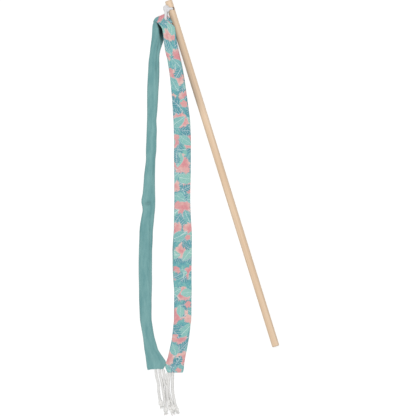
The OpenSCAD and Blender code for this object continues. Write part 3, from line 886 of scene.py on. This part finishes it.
def leg_rows(leg):
    """The middle surface of a leg, from where it leaves the fold to its end, as ribbon points."""
    outline = leg_outline(leg)
    length = outline[-1, 0]
    places = np.arange(STARTS[leg], length, ROW_STEP)
    places = np.append(places[length - places > ROW_STEP / 2], length)
    left, right, low, high, thick = along_leg(outline, places)
    left, right = (edge + softened(np.interp(places, *shift), SHIFT_PASSES)
                   for edge, shift in zip((left, right), SHIFTS[leg]))
    q = np.linspace(-1, 1, MID_COLUMNS)
    rows = []
    for i, v in enumerate(places):
        width = right[i] - left[i]
        gap = gap_at(v, length - v)
        roll = max(FOLD_ROLL, (thick[i] - 2 * gap) / (1 - math.cos(CURL)))
        curl = CURL * (LEAST_CURL[leg] + (1 - LEAST_CURL[leg]) * ease(v, *CURL_COMES))
        more = ease(v, *SLOPE_COMES) * (1 - ease(v, *SLOPE_GOES))
        slope = SLOPES[leg] * (LEAST_SLOPE + (1 - LEAST_SLOPE) * more)
        x, z = curled(q, width, [roll * share for share in ROLL_SHARES[leg]], gap, curl, slope)
        lowest = (z - gap * np.sqrt(1 - q**2)).min()
        tilt = (high[i] - low[i]) / width
        base = (low[i] + high[i] - thick[i]) / 2 - lowest
        ends = np.interp(q, *ENDS[leg]) * (1 - ease(length - v, 0, END_STRETCH))
        across = (left[i] + right[i]) / 2 + x
        height = base + z + tilt * x
        if leg == "left_leg":
            least = np.minimum(height, gap * np.sqrt(1 - q**2) + LEAST_LIFT)
            height = np.maximum(height - dip(across, v), least)
        rows.append(np.stack([across, v + ends, height], axis=-1))
    return np.array(rows)


def gap_at(from_fold, to_end):
    """Half the space between the strips: small where the cord ties them, none at a closed end."""
    wide = GAP_FOLD + (GAP_LEG - GAP_FOLD) * ease(from_fold, *GAP_WIDENS)
    return wide * math.sqrt(min(1.0, max(LEAST_CLOSING, to_end / CLOSING)))


def fold_rows(front, rear):
    """The middle surface over the fold, from the front leg's cut row to the rear leg's."""
    q = np.linspace(-1, 1, MID_COLUMNS)
    shares = np.linspace(-1, 1, len(CREST))
    crest = np.stack([softened(np.interp(q, shares, place), CREST_PASSES) for place in CREST.T], axis=-1)
    line = crest[:, :2]
    run = np.gradient(line, axis=0)
    inward = np.stack([-run[:, 1], run[:, 0]], axis=-1)
    inward /= np.linalg.norm(inward, axis=1)[:, None]
    lengthwise = (1 - ease(q, *LENGTHWISE))[:, None]
    beneath = inward * (1 - lengthwise) + (0, 1) * lengthwise
    beneath /= np.linalg.norm(beneath, axis=1)[:, None]
    inward = inward * (1 - lengthwise) + LEFT_INWARD * lengthwise
    inward /= np.linalg.norm(inward, axis=1)[:, None]
    top, under = crest[:, 2], crest[:, 3]
    middle, reach = (top + under) / 2, (top - under) / 2

    def approach(leg, height, inward, lip):
        """Rows from a leg's cut row to where the cloth begins to turn over."""
        start, before = leg[0], leg[1]
        way_in = (start - before) / ROW_STEP
        goal = np.column_stack([line + reach[:, None] * inward, height])
        span = np.linalg.norm(goal - start, axis=1)[:, None]
        way_out = np.column_stack([-inward, np.zeros(MID_COLUMNS)])
        rows = []
        for t in np.linspace(0, 1, FOLD_ROWS + 1)[1:]:
            a, b = 2 * t**3 - 3 * t**2 + 1, t**3 - 2 * t**2 + t
            c, d = 3 * t**2 - 2 * t**3, t**3 - t**2
            row = a * start + b * span * way_in + c * goal + d * span * way_out
            rows.append(row - lip * t * (1 - t) * lengthwise * (1, 0, 0))
        return rows

    turn = []
    for phi in np.linspace(0, math.pi, 2 * TURN_ROWS + 1)[1:-1]:
        deep = reach[:, None] * (inward if phi < math.pi / 2 else beneath)
        plan = line + deep * (1 - math.sin(phi))
        turn.append(np.column_stack([plan, middle + reach * math.cos(phi)]))
    rows = approach(front, top, inward, LIP) + turn + approach(rear, under, beneath, 0)[::-1]
    return np.array(rows)


def ribbon_middle():
    """The whole ribbon's middle surface, from the right leg's end over the fold to the left leg's."""
    front, rear = leg_rows("right_leg"), leg_rows("left_leg")
    fold = fold_rows(front, rear)
    middle = np.concatenate([front[::-1], fold, rear])
    u, v, wide, deep = TIE
    tied = np.exp(-((middle[..., 0] - u) ** 2 + (middle[..., 1] - v) ** 2) / wide**2)
    middle[..., 2] -= deep * tied * ease(middle[..., 2], *TIE_HEIGHTS)
    into, out = (round((CUTS[leg] - STARTS[leg]) / ROW_STEP) for leg in ("right_leg", "left_leg"))
    return middle, (len(front) - 1 - into, len(front) + len(fold) + out)


# Pleats across a strip that take up its width where a leg is narrow, down to this share of it, how far
# along they wind by a radian, and how far they sink in
PLEATS, FULLNESS, PLEAT_WIND, PLEAT_SINK = 8, 0.8, 25, 0.6
# Soft folds and aslant ones: their fineness across and along, their height, where in the noise the
# print's and the plain strip's are read, and the aslant ones' lean
SOFT_FOLDS, SOFT_HEIGHT, SOFT_PLACES = (0.16, 0.028), 0.42, (0, 9)
DRAG_FOLDS, DRAG_HEIGHT, DRAG_PLACES, DRAG_LEAN = (0.3, 0.06), 0.2, (9, 14), 0.05
# Width beside a seam that lies smooth, the share of the space inside that folds may sink into, and the
# least that they may
SEAM_CALM, SINK_SHARE, LEAST_SINK = 2.5, 0.9, 0.001
# How far the print's left seam lies round the tube, in radians: at the fold with its reach on the right
# and the left leg, along part of the right leg, and along the left one
SEAM_AT_FOLD, SEAM_REACH = 1.2, (6.0, 9.0)
SEAM_RIGHT, SEAM_COMES, SEAM_GOES = 0.55, (172, 200), (335, 362)
SEAM_LEFT, SEAM_LEFT_COMES = 0.15, (5, 30)
# Edges that are bent more than this stay sharp
SHARP = math.radians(50)
# Heights over the surface between which the fold's cloth goes from one leg's movement to the other's
FOLD_SLIT = (6.4, 4.4)


def crinkle(along, across, face):
    """Small folds of the cloth, as a height along its normal in millimetres."""
    out = np.zeros(len(across))
    for k, c in enumerate(across):
        soft = noise.noise(Vector((c * SOFT_FOLDS[0], along * SOFT_FOLDS[1], SOFT_PLACES[face])))
        drag = noise.noise(Vector((c * DRAG_FOLDS[0] + along * DRAG_LEAN,
                                   along * DRAG_FOLDS[1] - c * DRAG_LEAN, DRAG_PLACES[face])))
        out[k] = SOFT_HEIGHT * soft + DRAG_HEIGHT * drag
    return out


def seam_turn(along):
    """How far round the tube the print's left seam lies from its left edge, in radians."""
    fold = SEAM_AT_FOLD * math.exp(-((along / SEAM_REACH[0 if along < 0 else 1]) ** 2))
    edge = SEAM_RIGHT * ease(-along, *SEAM_COMES) * (1 - ease(-along, *SEAM_GOES))
    return fold + edge + SEAM_LEFT * ease(along, *SEAM_LEFT_COMES)


def strip_ring(middle, normal, along, to_end, face):
    """One row of a strip: its outer and inner points, and how far across the strip each of them lies."""
    turn = np.linspace(0, math.pi, COLUMNS + 1) + face * math.pi + seam_turn(along)
    share = -np.cos(turn)
    q = np.linspace(-1, 1, MID_COLUMNS)
    at, out = (np.stack([np.interp(share, q, part) for part in row.T], axis=-1) for row in (middle, normal))
    space = gap_at(abs(along), to_end)
    cloth = min(CLOTH, CLOTH_SHARE * space)
    ring = at + (space * np.sin(turn))[:, None] * out
    across = lengths(ring)
    width = across[-1]
    across *= RIBBON_FLAT / width
    lack = max(0.0, FULLNESS * RIBBON_FLAT / width - 1)
    pleat = width / PLEATS / math.pi * math.sqrt(lack)
    seam = np.minimum(across, RIBBON_FLAT - across)
    calm = np.clip(seam / SEAM_CALM, 0, 1) * min(1.0, to_end / CLOSING)
    wave = np.sin(2 * math.pi * PLEATS * across / RIBBON_FLAT + along / PLEAT_WIND)
    rise = (crinkle(along, across, face) + pleat * (wave - PLEAT_SINK)) * calm
    room = SINK_SHARE * (space - cloth) * np.abs(np.sin(turn)) + LEAST_SINK
    rise = np.where(rise < 0, room * np.tanh(rise / room), rise) * np.sign(np.sin(turn))
    return ring + rise[:, None] * out, ring + (rise - cloth * np.sin(turn))[:, None] * out, across


def strip_surface(middle, face):
    """One strip of the tube: its outer and inner points, its own map, its painted shade and places along it.

    face is 0 for the print and 1 for the plain cloth.
    """
    centre = middle[:, MID_COLUMNS // 2]
    along = lengths(centre)
    along = along - along[np.argmin(centre[:, 1])]
    normal = np.cross(np.gradient(middle, axis=0), np.gradient(middle, axis=1))
    normal /= np.linalg.norm(normal, axis=2)[..., None]
    normal = softened(normal, NORMAL_PASSES)
    points, inner, uv, painted_shade = [], [], [], []
    for row, out, place in zip(middle, normal, along):
        to_end = min(place - along[0], along[-1] - place)
        outside, inside, across = strip_ring(row, out, place, to_end, face)
        points.append(outside)
        inner.append(inside)
        uv.append(np.stack([across * MM, np.full(COLUMNS + 1, place * MM)], axis=-1))
        # Painted shade goes only on the plain strip past the fold's crest, towards the left leg
        on_left_leg = face == 1 and place > 0
        painted_shade.append(painted_fold_shade(*outside.T[:2]) if on_left_leg else np.zeros(COLUMNS + 1))
    return (*(np.array(rows) for rows in (points, inner, uv, painted_shade)), along)


def strip_piece(name, points, inner, uv, painted_shade, body, material):
    """A piece of one strip, closed round its rims between its outer and inner surfaces."""
    mesh = new_mesh()
    grid_of(mesh, to_wand(points), uv, painted_shade)
    lining = grid_of(mesh, to_wand(inner), uv, painted_shade)
    bmesh.ops.reverse_faces(mesh, faces=list({f for v in lining for f in v.link_faces}))
    rims = [e for e in mesh.edges if e.is_boundary]
    bands = set(bmesh.ops.bridge_loops(mesh, edges=rims)["faces"])
    layer = mesh.loops.layers.uv[UV_NAME]
    for face in bands:
        for loop in face.loops:
            near = next(other for other in loop.vert.link_loops if other.face not in bands)
            loop[layer].uv = near[layer].uv
    return finished(mesh, name, body, material, SHARP)


def blend_fold(piece):
    """The fold bends between the two legs: what is above the slit follows the right one."""
    x, y = PIERCE[:2]
    start, end = ((x, y, FLOOR + height * MM) for height in FOLD_SLIT)
    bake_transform(piece, "right_leg", "left_leg", start=start, end=end)


# Cords

# Routes of the tassel cords, three from the middle of the left leg's end and three from the right
# one's, each to its knot: across, along and height
TASSEL_ROUTES = [
    [(0.1, 0, 1.1), (0.3, 4.8, 1.3), (1.2, 9.3, 1.3), (2.4, 14, 1.3), (2.9, 19, 1.3), (3.2, 24.5, 1.3),
     (4, 30.5, 1.4), (5.1, 35.2, 2)],
    [(4.4, 0, 1.1), (4.8, 5.7, 1.3), (5.8, 10.5, 1.3), (7, 16, 1.3), (7.9, 21.6, 1.3), (8.8, 27, 1.3),
     (9.5, 32, 1.3), (10.1, 37.5, 1.4), (10.7, 43, 2)],
    [(8.1, 0, 1.1), (9.2, 5, 1.5), (9.2, 8.5, 1.8), (9.1, 12, 2.3), (9.9, 16, 3.4), (12, 19.5, 4.7),
     (12.7, 23.7, 4.9), (12.8, 28.4, 4.8), (14, 34.4, 4.5)],
    [(-8.2, 0, 1.1), (-8.4, 4.5, 1.3), (-9, 9, 1.3), (-9.6, 13.8, 1.3), (-9.6, 19.3, 1.3), (-9.4, 25, 1.3),
     (-8.5, 29.8, 1.3), (-7.3, 33.8, 1.4), (-6, 37.2, 2)],
    [(-5.6, 0, 1.1), (-6.4, 5, 1.8), (-7.1, 9.5, 2.9), (-7.5, 14, 3.4), (-7.5, 19, 3.4), (-6.9, 23, 2.9),
     (-5.6, 27.5, 1.9), (-4.2, 31.5, 1.8), (-2.6, 36.6, 3.2)],
    [(-2.7, 0, 1.1), (-2.6, 5, 1.3), (-2.7, 9.5, 1.3), (-2.8, 15, 1.3), (-2.6, 20.5, 1.3),
     (-2, 25, 1.3), (-1, 30, 1.3), (-0.1, 34.5, 1.4), (1.3, 38.8, 1.6)],
]
# Length of a frayed end, and the share of it that each cord's has
TAIL_LONG, TAIL_SHARES = 4.6, (1, 0.8, 0.55, 1.45, 0.9, 0.75)
# The hanger's turn through and round the stick, measured from the middle of the hole
STICK_LOOP = [
    (-3.6, 1.9, 5.5), (-1.9, 1.2, 5.3), (-0.7, 0.7, 5.2), (0.2, 0.4, 5.1), (0.9, 0.2, 4.7),
    (1.25, 0.1, 4.0), (1.35, 0, 3.2), (1.2, 0, 2.1), (0.5, 0, 0.7), (-1.2, 0, -1.1), (-2.75, 0, -2.35),
    (-3.25, 0.1, -2.65), (-3.8, 0.2, -2.7), (-4.6, 0.5, -2.4), (-5.2, 1.2, -1.3), (-5.4, 1.8, 0.3),
    (-5.2, 2.2, 1.9), (-4.9, 2.5, 3.2),
]
# Its strands through the ribbon, measured from the surface below the strand that pierces both legs
RIBBON_LOOP = [
    (2.5, 9, 10), (1.4, 5.8, 10.9), (0.4, 3.3, 11.1), (-0.15, 2, 11), (-0.3, 1.1, 10.3),
    (-0.25, 0.7, 9), (-0.1, 0.4, 7.4), (0, 0, 5.5), (0, 0, 2.9), (0.2, 0.6, 1.8), (0.7, 1.8, 1.3),
    (1.4, 4.2, 1.3), (2.1, 6.2, 1.35), (2.7, 7.4, 2), (2.9, 8.0, 3.4), (3.0, 8.3, 5), (3.0, 8.8, 6.7),
]
# How far the points of a cord's line lie apart
HANGER_STEP, TASSEL_STEP = 0.25, 0.35
# How the cords are laid: sides of the tube, length of a whole twist, strands and the grooves' depth
HANGER_LAY = {"around": 36, "twist": 16.0, "lobes": 8, "depth": 0.1}
TASSEL_LAY = {"around": 24, "twist": 4.4, "lobes": 3, "depth": 0.13}
KNOT_LAY = {"around": 18, "twist": 6.0, "lobes": 3, "depth": 0.12}
# How the yarns wind round the hanger cord and the tassel cords, in radians to a millimetre
HANGER_WIND, TASSEL_WIND = 1.2, 2.2
# How far the hanger's knot is drawn from its joint towards the ribbon, how far it is rolled, in
# radians, and how full its cord is
KNOT_DROP, KNOT_ROLL, KNOT_FULL = 0.8, 0.4, 1.12
# What is left of the hanger cord's thickness where it turns into the hole, and over what length it
# fills out
PRESSED, PRESSED_LONG = 0.78, 2.8
# Cords in each tassel, and how far they start inside the leg's end
TO_A_TASSEL, CORD_INSIDE = 3, 0.5
# What the seam leaves of their thickness there, and over what length they fill out
SEAM_PRESS, SEAM_LONG = 0.7, 2.2
# Half of an overhand knot, in shares of half its length; the other half is the same turned round
KNOT_HALF = [
    (-1.0, 0.0, 0.0), (-0.8, 0.2, -0.1), (-0.62, 0.42, -0.24), (-0.38, 0.26, -0.31),
    (-0.24, -0.06, -0.02), (0.0, -0.3, 0.3), (0.38, -0.52, 0.26), (0.7, -0.4, 0.02),
    (0.74, -0.06, -0.22), (0.42, 0.24, -0.32), (0.2, 0.46, -0.16),
]
KNOT_ROUTE = np.array(KNOT_HALF + [(0.0, 0.52, 0.0)]
                      + [(-x, y, -z) for x, y, z in reversed(KNOT_HALF)])
# How far apart a knot's points lie as a share of its half length, and how wide it is as a share of it
KNOT_STEP, KNOT_WIDE = 0.09, 0.62
# How far back a tassel knot starts, how much more than the last each is rolled, and the least height of
# its line and its radius as shares of the cord's thickness
KNOT_BACK, TASSEL_ROLL, KNOT_LIFT, KNOT_RADIUS = 0.5, 0.9, 0.36, 0.37
# Yarns of a frayed end, the first one's seed, how far back it starts, and how much longer it is
TAIL_YARNS, TAIL_SEED, TAIL_BACK, TAIL_MORE = 16, 40, 0.7, 0.6
# A loose yarn: how far back it starts, its sides, how far apart its points lie and their least height
YARN_BACK, YARN_SIDES, YARN_STEP, YARN_LIFT = 0.8, 6, 0.45, 0.3
# Its radii at the start and the end, for a cord of this thickness
YARN_RADII, YARN_CORD = (0.3, 0.16), 2.6
# What is drawn for each: its turn round the cord, place in it, length, bend, spread and stray sideways
YARN_TURN, YARN_PLACE, YARN_LENGTH = (-0.3, 0.3), (0.08, 0.3), (0.7, 1.15)
YARN_BEND, YARN_SPREAD, YARN_STRAY = (0.25, 0.6), (0.8, 1.5), (-0.4, 0.4)
# Share of its bend that its middle has
YARN_MIDDLE = 0.45


def level_frame(way):
    """A direction as one of length 1, a level one beside it, and the one that is square to both."""
    way = np.array(way, float) / np.linalg.norm(way)
    side = np.cross(way, (0, 0, 1))
    side /= np.linalg.norm(side)
    return way, side, np.cross(side, way)


def knot_line(start, way, size, roll):
    """An overhand knot's line in millimetres, from a start along a direction."""
    way, side, up = level_frame(way)
    c, s = math.cos(roll), math.sin(roll)
    axes = np.array([way, side * c + up * s, up * c - side * s])
    shape = spline(KNOT_ROUTE, KNOT_STEP) * (size / 2, size * KNOT_WIDE, size * KNOT_WIDE)
    return np.array(start) + way * size / 2 + shape @ axes


def tail_into(mesh, start, way, long, thick, seed):
    """Adds the loose yarns of a cord's end."""
    rng = random.Random(seed)
    way, side, up = level_frame(way)
    for k in range(TAIL_YARNS):
        angle = 2 * math.pi * k / TAIL_YARNS + rng.uniform(*YARN_TURN)
        out = math.cos(angle) * side + math.sin(angle) * up
        begin = np.array(start) - way * YARN_BACK + out * thick * rng.uniform(*YARN_PLACE)
        reach = long * rng.uniform(*YARN_LENGTH)
        bend = rng.uniform(*YARN_BEND) * thick
        middle = begin + way * reach * 0.5 + out * bend * YARN_MIDDLE
        end = begin + way * reach + out * bend * rng.uniform(*YARN_SPREAD)
        end += side * rng.uniform(*YARN_STRAY)
        for point in (middle, end):
            point[2] = max(point[2], YARN_LIFT)
        line = spline([begin, middle, end], YARN_STEP)
        tube_into(mesh, line, np.linspace(*YARN_RADII, len(line)) * thick / YARN_CORD, YARN_SIDES)


# What a user can change


def tint(name, description, *shown):
    """A colour, given as a picture shows it, from 0 to 255."""
    return bpy.props.FloatVectorProperty(name=name, description=description, subtype="COLOR_GAMMA",
                                         default=tuple(c / BRIGHTEST for c in shown), min=0, max=1)


def measure(name, description, default, low, high):
    """A size, given in millimetres."""
    return bpy.props.FloatProperty(name=name, description=description, subtype="DISTANCE",
                                   unit="LENGTH", precision=5, default=default * MM, min=low * MM,
                                   max=high * MM)


class WoodSettings(bpy.types.PropertyGroup):
    light: tint("Light grain", "Colour of the pale grain", 235, 211, 184)
    dark: tint("Dark grain", "Colour of the darker grain", 220, 191, 160)
    pore: tint("Pores", "Colour of pores and cut ends", 186, 148, 110)
    # Colour of the painted shade down the stick's left side near the tip
    painted_side_shade: tint("Heartwood", "Colour of the darker streak", 112, 96, 80)
    # Colour of the drill's burn round the hole and of the painted shade inside it
    burn_and_shade_colour: tint("Drilled rim", "Colour round the drilled hole", 140, 100, 72)


class RibbonSettings(bpy.types.PropertyGroup):
    thread: measure("Thread", "Distance between threads", 0.42, 0.2, 1.0)
    weave_depth: measure("Weave depth", "Depth of the weave", 0.09, 0.0, 0.3)
    plain_light: tint("Plain cloth, light", "Colour of the plain cloth's raised threads", 134, 178, 177)
    plain_dark: tint("Plain cloth, dark", "Colour of the plain cloth's hollows", 94, 146, 149)
    # Colour of the painted shade deep between the cloth's folds and in its creases
    plain_painted_shade: tint("Plain cloth, deep", "Colour of the plain cloth deep between folds", 12, 34, 36)
    deep: tint("Deep leaf", "Darkest colour of the print", 54, 130, 152)
    sea: tint("Sea leaf", "Middle colour of the print", 94, 166, 175)
    mint: tint("Mint leaf", "Green of the print", 138, 195, 184)
    salmon: tint("Salmon", "Light petals of the print", 231, 187, 178)
    coral: tint("Coral", "Dark petals of the print", 219, 142, 148)
    pale: tint("Pale lines", "Ribs and twigs of the print", 216, 232, 230)
    groove: tint("Print grooves", "Colour between the print's threads", 90, 112, 116)


class CordSettings(bpy.types.PropertyGroup):
    hanger: measure("Hanger cord", "Its diameter", 2.9, 1.5, 3.1)
    tassel: measure("Tassel cord", "Its diameter", 3.1, 1.6, 3.4)
    knot: measure("Tassel knot", "Its length", 4.6, 3.6, 6.0)
    hanger_knot: measure("Hanger knot", "Its length", 6.0, 4.0, 7.0)
    hanger_light: tint("Hanger cord, light", "Colour of its raised yarns", 240, 239, 240)
    hanger_dark: tint("Hanger cord, dark", "Colour of its grooves", 206, 205, 208)
    tassel_light: tint("Tassel cord, light", "Colour of its raised yarns", 250, 249, 247)
    tassel_dark: tint("Tassel cord, dark", "Colour of its grooves", 226, 225, 222)


# The pieces and the stage


class WAND_OT_stick(bpy.types.Operator):
    """Gives the frame's stick its wood"""

    bl_idname = "wand.stick"
    bl_label = "Stick"

    def execute(self, context):
        data = frame["nodes"]["stick"].data
        data.materials.clear()
        data.materials.append(wood(context.scene.wand_wood))
        return {"FINISHED"}


class WAND_OT_hanger(bpy.types.Operator):
    """Makes the hanger cord: its turn through the stick, its knot and its strands through the ribbon"""

    bl_idname = "wand.hanger"
    bl_label = "Hanger cord"

    def execute(self, context):
        settings = context.scene.wand_cords
        thick, knot_long = settings.hanger / MM, settings.hanger_knot / MM
        look = cotton_cord("hanger_cotton", settings.hanger_light, settings.hanger_dark, HANGER_WIND)
        hole = (0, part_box("stick")[1].y / MM - HOLE_FROM_TIP, 0)
        loop = spline(np.array(STICK_LOOP) + hole, HANGER_STEP)
        foot = np.array([PIERCE[0] / MM, PIERCE[1] / MM, FLOOR / MM])
        strands = spline(np.array(RIBBON_LOOP) + foot, HANGER_STEP)
        centre = np.array(joint_place("hanger_swing")) / MM
        run = foot - centre
        run[2] = 0
        run /= np.linalg.norm(run)
        knot = knot_line(centre - run * (knot_long / 2 - KNOT_DROP), run, knot_long, KNOT_ROLL)
        for name, line, body, node, full in (
            ("stick_turn", loop, "stick", "stick_loop", 1),
            ("ribbon_strands", strands, "hanger", "ribbon_loop", 1),
            ("hanger_tie", knot, "stick", "hanger_knot", KNOT_FULL),
        ):
            mesh = new_mesh()
            radii = np.full(len(line), thick * full / 2)
            if node == "stick_loop":
                past = np.abs(lengths(line) - lengths(line)[line[:, 0].argmax()])
                radii *= 1 - (1 - PRESSED) * (1 - ease(past, 0, PRESSED_LONG))
            tube_into(mesh, line, radii, **HANGER_LAY)
            piece = finished(mesh, name, body, look)
            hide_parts(node)
        return {"FINISHED"}


class WAND_OT_ribbon(bpy.types.Operator):
    """Makes the ribbon's two strips, each in a right leg, a fold and a left leg"""

    bl_idname = "wand.ribbon"
    bl_label = "Ribbon"

    def execute(self, context):
        settings = context.scene.wand_ribbon
        looks = {"print": print_cloth(settings), "plain": plain_cloth(settings)}
        middle, (front_cut, rear_cut) = ribbon_middle()
        for face, kind in enumerate(("print", "plain")):
            points, inner, uv, painted_shade, along = strip_surface(middle, face)
            for part, low, high, body in (
                ("right", 0, front_cut, "right_leg"),
                ("fold", front_cut, rear_cut, None),
                ("left", rear_cut, len(points) - 1, "left_leg"),
            ):
                rows = slice(low, high + 1)
                piece = strip_piece(f"{kind}_{part}", points[rows], inner[rows], uv[rows],
                                    painted_shade[rows], body, looks[kind])
                if body:
                    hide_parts(f"{body}_{kind}")
                else:
                    blend_fold(piece)
                held = "folded" if part == "fold" else "laid"
        return {"FINISHED"}


def tassel(number, leg, points, settings, look):
    """Makes a tassel cord from a leg's end, with its knot and its frayed end.

    points are the cord's, in the ribbon's frame.
    """
    thick, knot_long = settings.tassel / MM, settings.knot / MM
    line = spline([np.array(points[0]) - (0, CORD_INSIDE, 0), *points], TASSEL_STEP)
    way = line[-1] - line[-2]
    way /= np.linalg.norm(way)
    mesh = new_mesh()
    full = SEAM_PRESS + (1 - SEAM_PRESS) * ease(lengths(line), 0, SEAM_LONG)
    tube_into(mesh, to_wand(line) / MM, thick / 2 * full, **TASSEL_LAY)
    cord = finished(mesh, f"cord_{number}", leg, look)
    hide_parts(f"tassel_cord_{number}")

    mesh = new_mesh()
    knot = knot_line(line[-1] - way * KNOT_BACK, way, knot_long, TASSEL_ROLL * (number - 1))
    knot[:, 2] = np.maximum(knot[:, 2], thick * KNOT_LIFT)
    tube_into(mesh, to_wand(knot) / MM, np.full(len(knot), thick * KNOT_RADIUS), **KNOT_LAY)
    tie = finished(mesh, f"knot_{number}", leg, look)
    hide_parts(f"tassel_knot_{number}")

    mesh = new_mesh()
    start = line[-1] + way * (knot_long - TAIL_BACK)
    long = TAIL_LONG * TAIL_SHARES[number - 1] + TAIL_MORE
    tail_into(mesh, start, way, long, thick, TAIL_SEED + number - 1)
    for vertex in mesh.verts:
        vertex.co = to_wand(np.array(vertex.co) / MM)
    end = finished(mesh, f"frayed_end_{number}", leg, look)
    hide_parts(f"tassel_end_{number}")

    path = to_wand(line)
    to_wand(points[0])


class WAND_OT_tassels(bpy.types.Operator):
    """Makes the six tassel cords, their knots and their frayed ends"""

    bl_idname = "wand.tassels"
    bl_label = "Tassels"

    def execute(self, context):
        settings = context.scene.wand_cords
        look = cotton_cord("tassel_cotton", settings.tassel_light, settings.tassel_dark, TASSEL_WIND)
        roots = []
        for leg in ("left_leg", "right_leg"):
            along, left, right = leg_outline(leg)[-1][:3]
            roots.append((leg, (left + right) / 2, along))
        for i, route in enumerate(TASSEL_ROUTES):
            leg, across, along = roots[i // TO_A_TASSEL]
            points = [(across + u, along + v, h) for u, v, h in route]
            tassel(i + 1, leg, points, settings, look)
        return {"FINISHED"}


# The floor: half its side in metres, how far below the stick it lies in millimetres, its tint under the
# pieces, and the tint and the glow that the camera sees
FLOOR_REACH, FLOOR_DROP = 6, 0.02
FLOOR_TINT, SEEN_TINT, SEEN_GLOW = 0.8, 0.4, 0.68
# Strength of the light from all round
SKY = 0.62
# The softbox: its side, its power, the point it is aimed at, and its place seen from there
SOFTBOX_SIDE, SOFTBOX_POWER = 1.1, 15.0
SOFTBOX_AIM, SOFTBOX_AWAY = (0, 0.2, 0), (-0.06, 0.15, 1.5)
FARTHEST_SEEN = 50


def make_floor(scene):
    """The white surface that the wand lies on."""
    mesh = bmesh.new()
    bmesh.ops.create_grid(mesh, x_segments=1, y_segments=1, size=FLOOR_REACH)
    bmesh.ops.translate(mesh, verts=mesh.verts, vec=(0, 0, FLOOR - FLOOR_DROP * MM))
    data = bpy.data.meshes.new("floor")
    mesh.to_mesh(data)
    mesh.free()
    floor = bpy.data.objects.new("floor", data)
    scene.collection.objects.link(floor)
    g = material_graph("floor")
    seen = g.node("ShaderNodeLightPath")
    cloth = g.node("ShaderNodeBsdfDiffuse", None, {"Color": (*[FLOOR_TINT] * 3, 1)})
    faint = g.node("ShaderNodeBsdfDiffuse", None, {"Color": (*[SEEN_TINT] * 3, 1)})
    glow = g.node("ShaderNodeEmission", None, {"Color": (1, 1, 1, 1), "Strength": SEEN_GLOW})
    both = g.node("ShaderNodeAddShader", None, {0: faint, 1: glow})
    mixed = g.node("ShaderNodeMixShader", None, {0: seen, 1: cloth, 2: both})
    g.node("ShaderNodeOutputMaterial", None, {"Surface": mixed})
    data.materials.append(g.owner)


def make_light(scene):
    """Even light from all round, and a softbox over the wand."""
    scene.world = bpy.data.worlds.new("studio")
    g = Graph(scene.world)
    seen = g.node("ShaderNodeLightPath")
    soft = g.node("ShaderNodeBackground", None, {"Strength": SKY})
    white = g.node("ShaderNodeBackground")
    mixed = g.node("ShaderNodeMixShader", None, {0: seen, 1: soft, 2: white})
    g.node("ShaderNodeOutputWorld", None, {"Surface": mixed})
    light = bpy.data.lights.new("softbox", "AREA")
    light.shape, light.size = "SQUARE", SOFTBOX_SIDE
    light.energy = SOFTBOX_POWER
    lamp = bpy.data.objects.new("softbox", light)
    scene.collection.objects.link(lamp)
    lamp.location = Vector(SOFTBOX_AIM) + Vector(SOFTBOX_AWAY)
    lamp.rotation_euler = (-Vector(SOFTBOX_AWAY)).to_track_quat("-Z", "Y").to_euler()


def make_camera(scene):
    """The camera, straight above the wand."""
    camera = bpy.data.objects.new("camera", bpy.data.cameras.new("camera"))
    scene.collection.objects.link(camera)
    camera.data.lens, camera.data.sensor_width = LENS, SENSOR
    height = PICTURE_WIDTH * MM * LENS / SENSOR
    camera.location = (PICTURE_CENTRE[0] * MM, PICTURE_CENTRE[1] * MM, height)
    camera.rotation_euler = (0, 0, PICTURE_TURN)
    camera.data.clip_end = FARTHEST_SEEN
    scene.camera = camera


class WAND_OT_stage(bpy.types.Operator):
    """Makes the white surface, the soft light and the camera straight above"""

    bl_idname = "wand.stage"
    bl_label = "Stage"

    def execute(self, context):
        make_floor(context.scene)
        make_light(context.scene)
        make_camera(context.scene)
        context.scene.view_settings.view_transform = "Standard"
        return {"FINISHED"}


class WAND_PT_panel(bpy.types.Panel):
    bl_label = "Ribbon Wand"
    bl_idname = "WAND_PT_panel"
    bl_space_type = "VIEW_3D"
    bl_region_type = "UI"
    bl_category = "Ribbon Wand"

    def draw(self, context):
        for settings in (context.scene.wand_wood, context.scene.wand_ribbon, context.scene.wand_cords):
            for name in settings.__annotations__:
                self.layout.prop(settings, name)
        for operator in OPERATORS:
            self.layout.operator(operator.bl_idname)


SETTINGS = {"wand_wood": WoodSettings, "wand_ribbon": RibbonSettings, "wand_cords": CordSettings}
OPERATORS = (WAND_OT_stage, WAND_OT_stick, WAND_OT_hanger, WAND_OT_ribbon, WAND_OT_tassels)


def register():
    for kind in (*SETTINGS.values(), *OPERATORS, WAND_PT_panel):
        bpy.utils.register_class(kind)
    for name, kind in SETTINGS.items():
        setattr(bpy.types.Scene, name, bpy.props.PointerProperty(type=kind))


def unregister():
    for name in SETTINGS:
        delattr(bpy.types.Scene, name)
    for kind in reversed((*SETTINGS.values(), *OPERATORS, WAND_PT_panel)):
        bpy.utils.unregister_class(kind)


def main():
    register()
    bpy.ops.wand.stage()
    bpy.ops.wand.stick()
    bpy.ops.wand.hanger()
    bpy.ops.wand.ribbon()
    bpy.ops.wand.tassels()


if __name__ == "__main__":
    main()
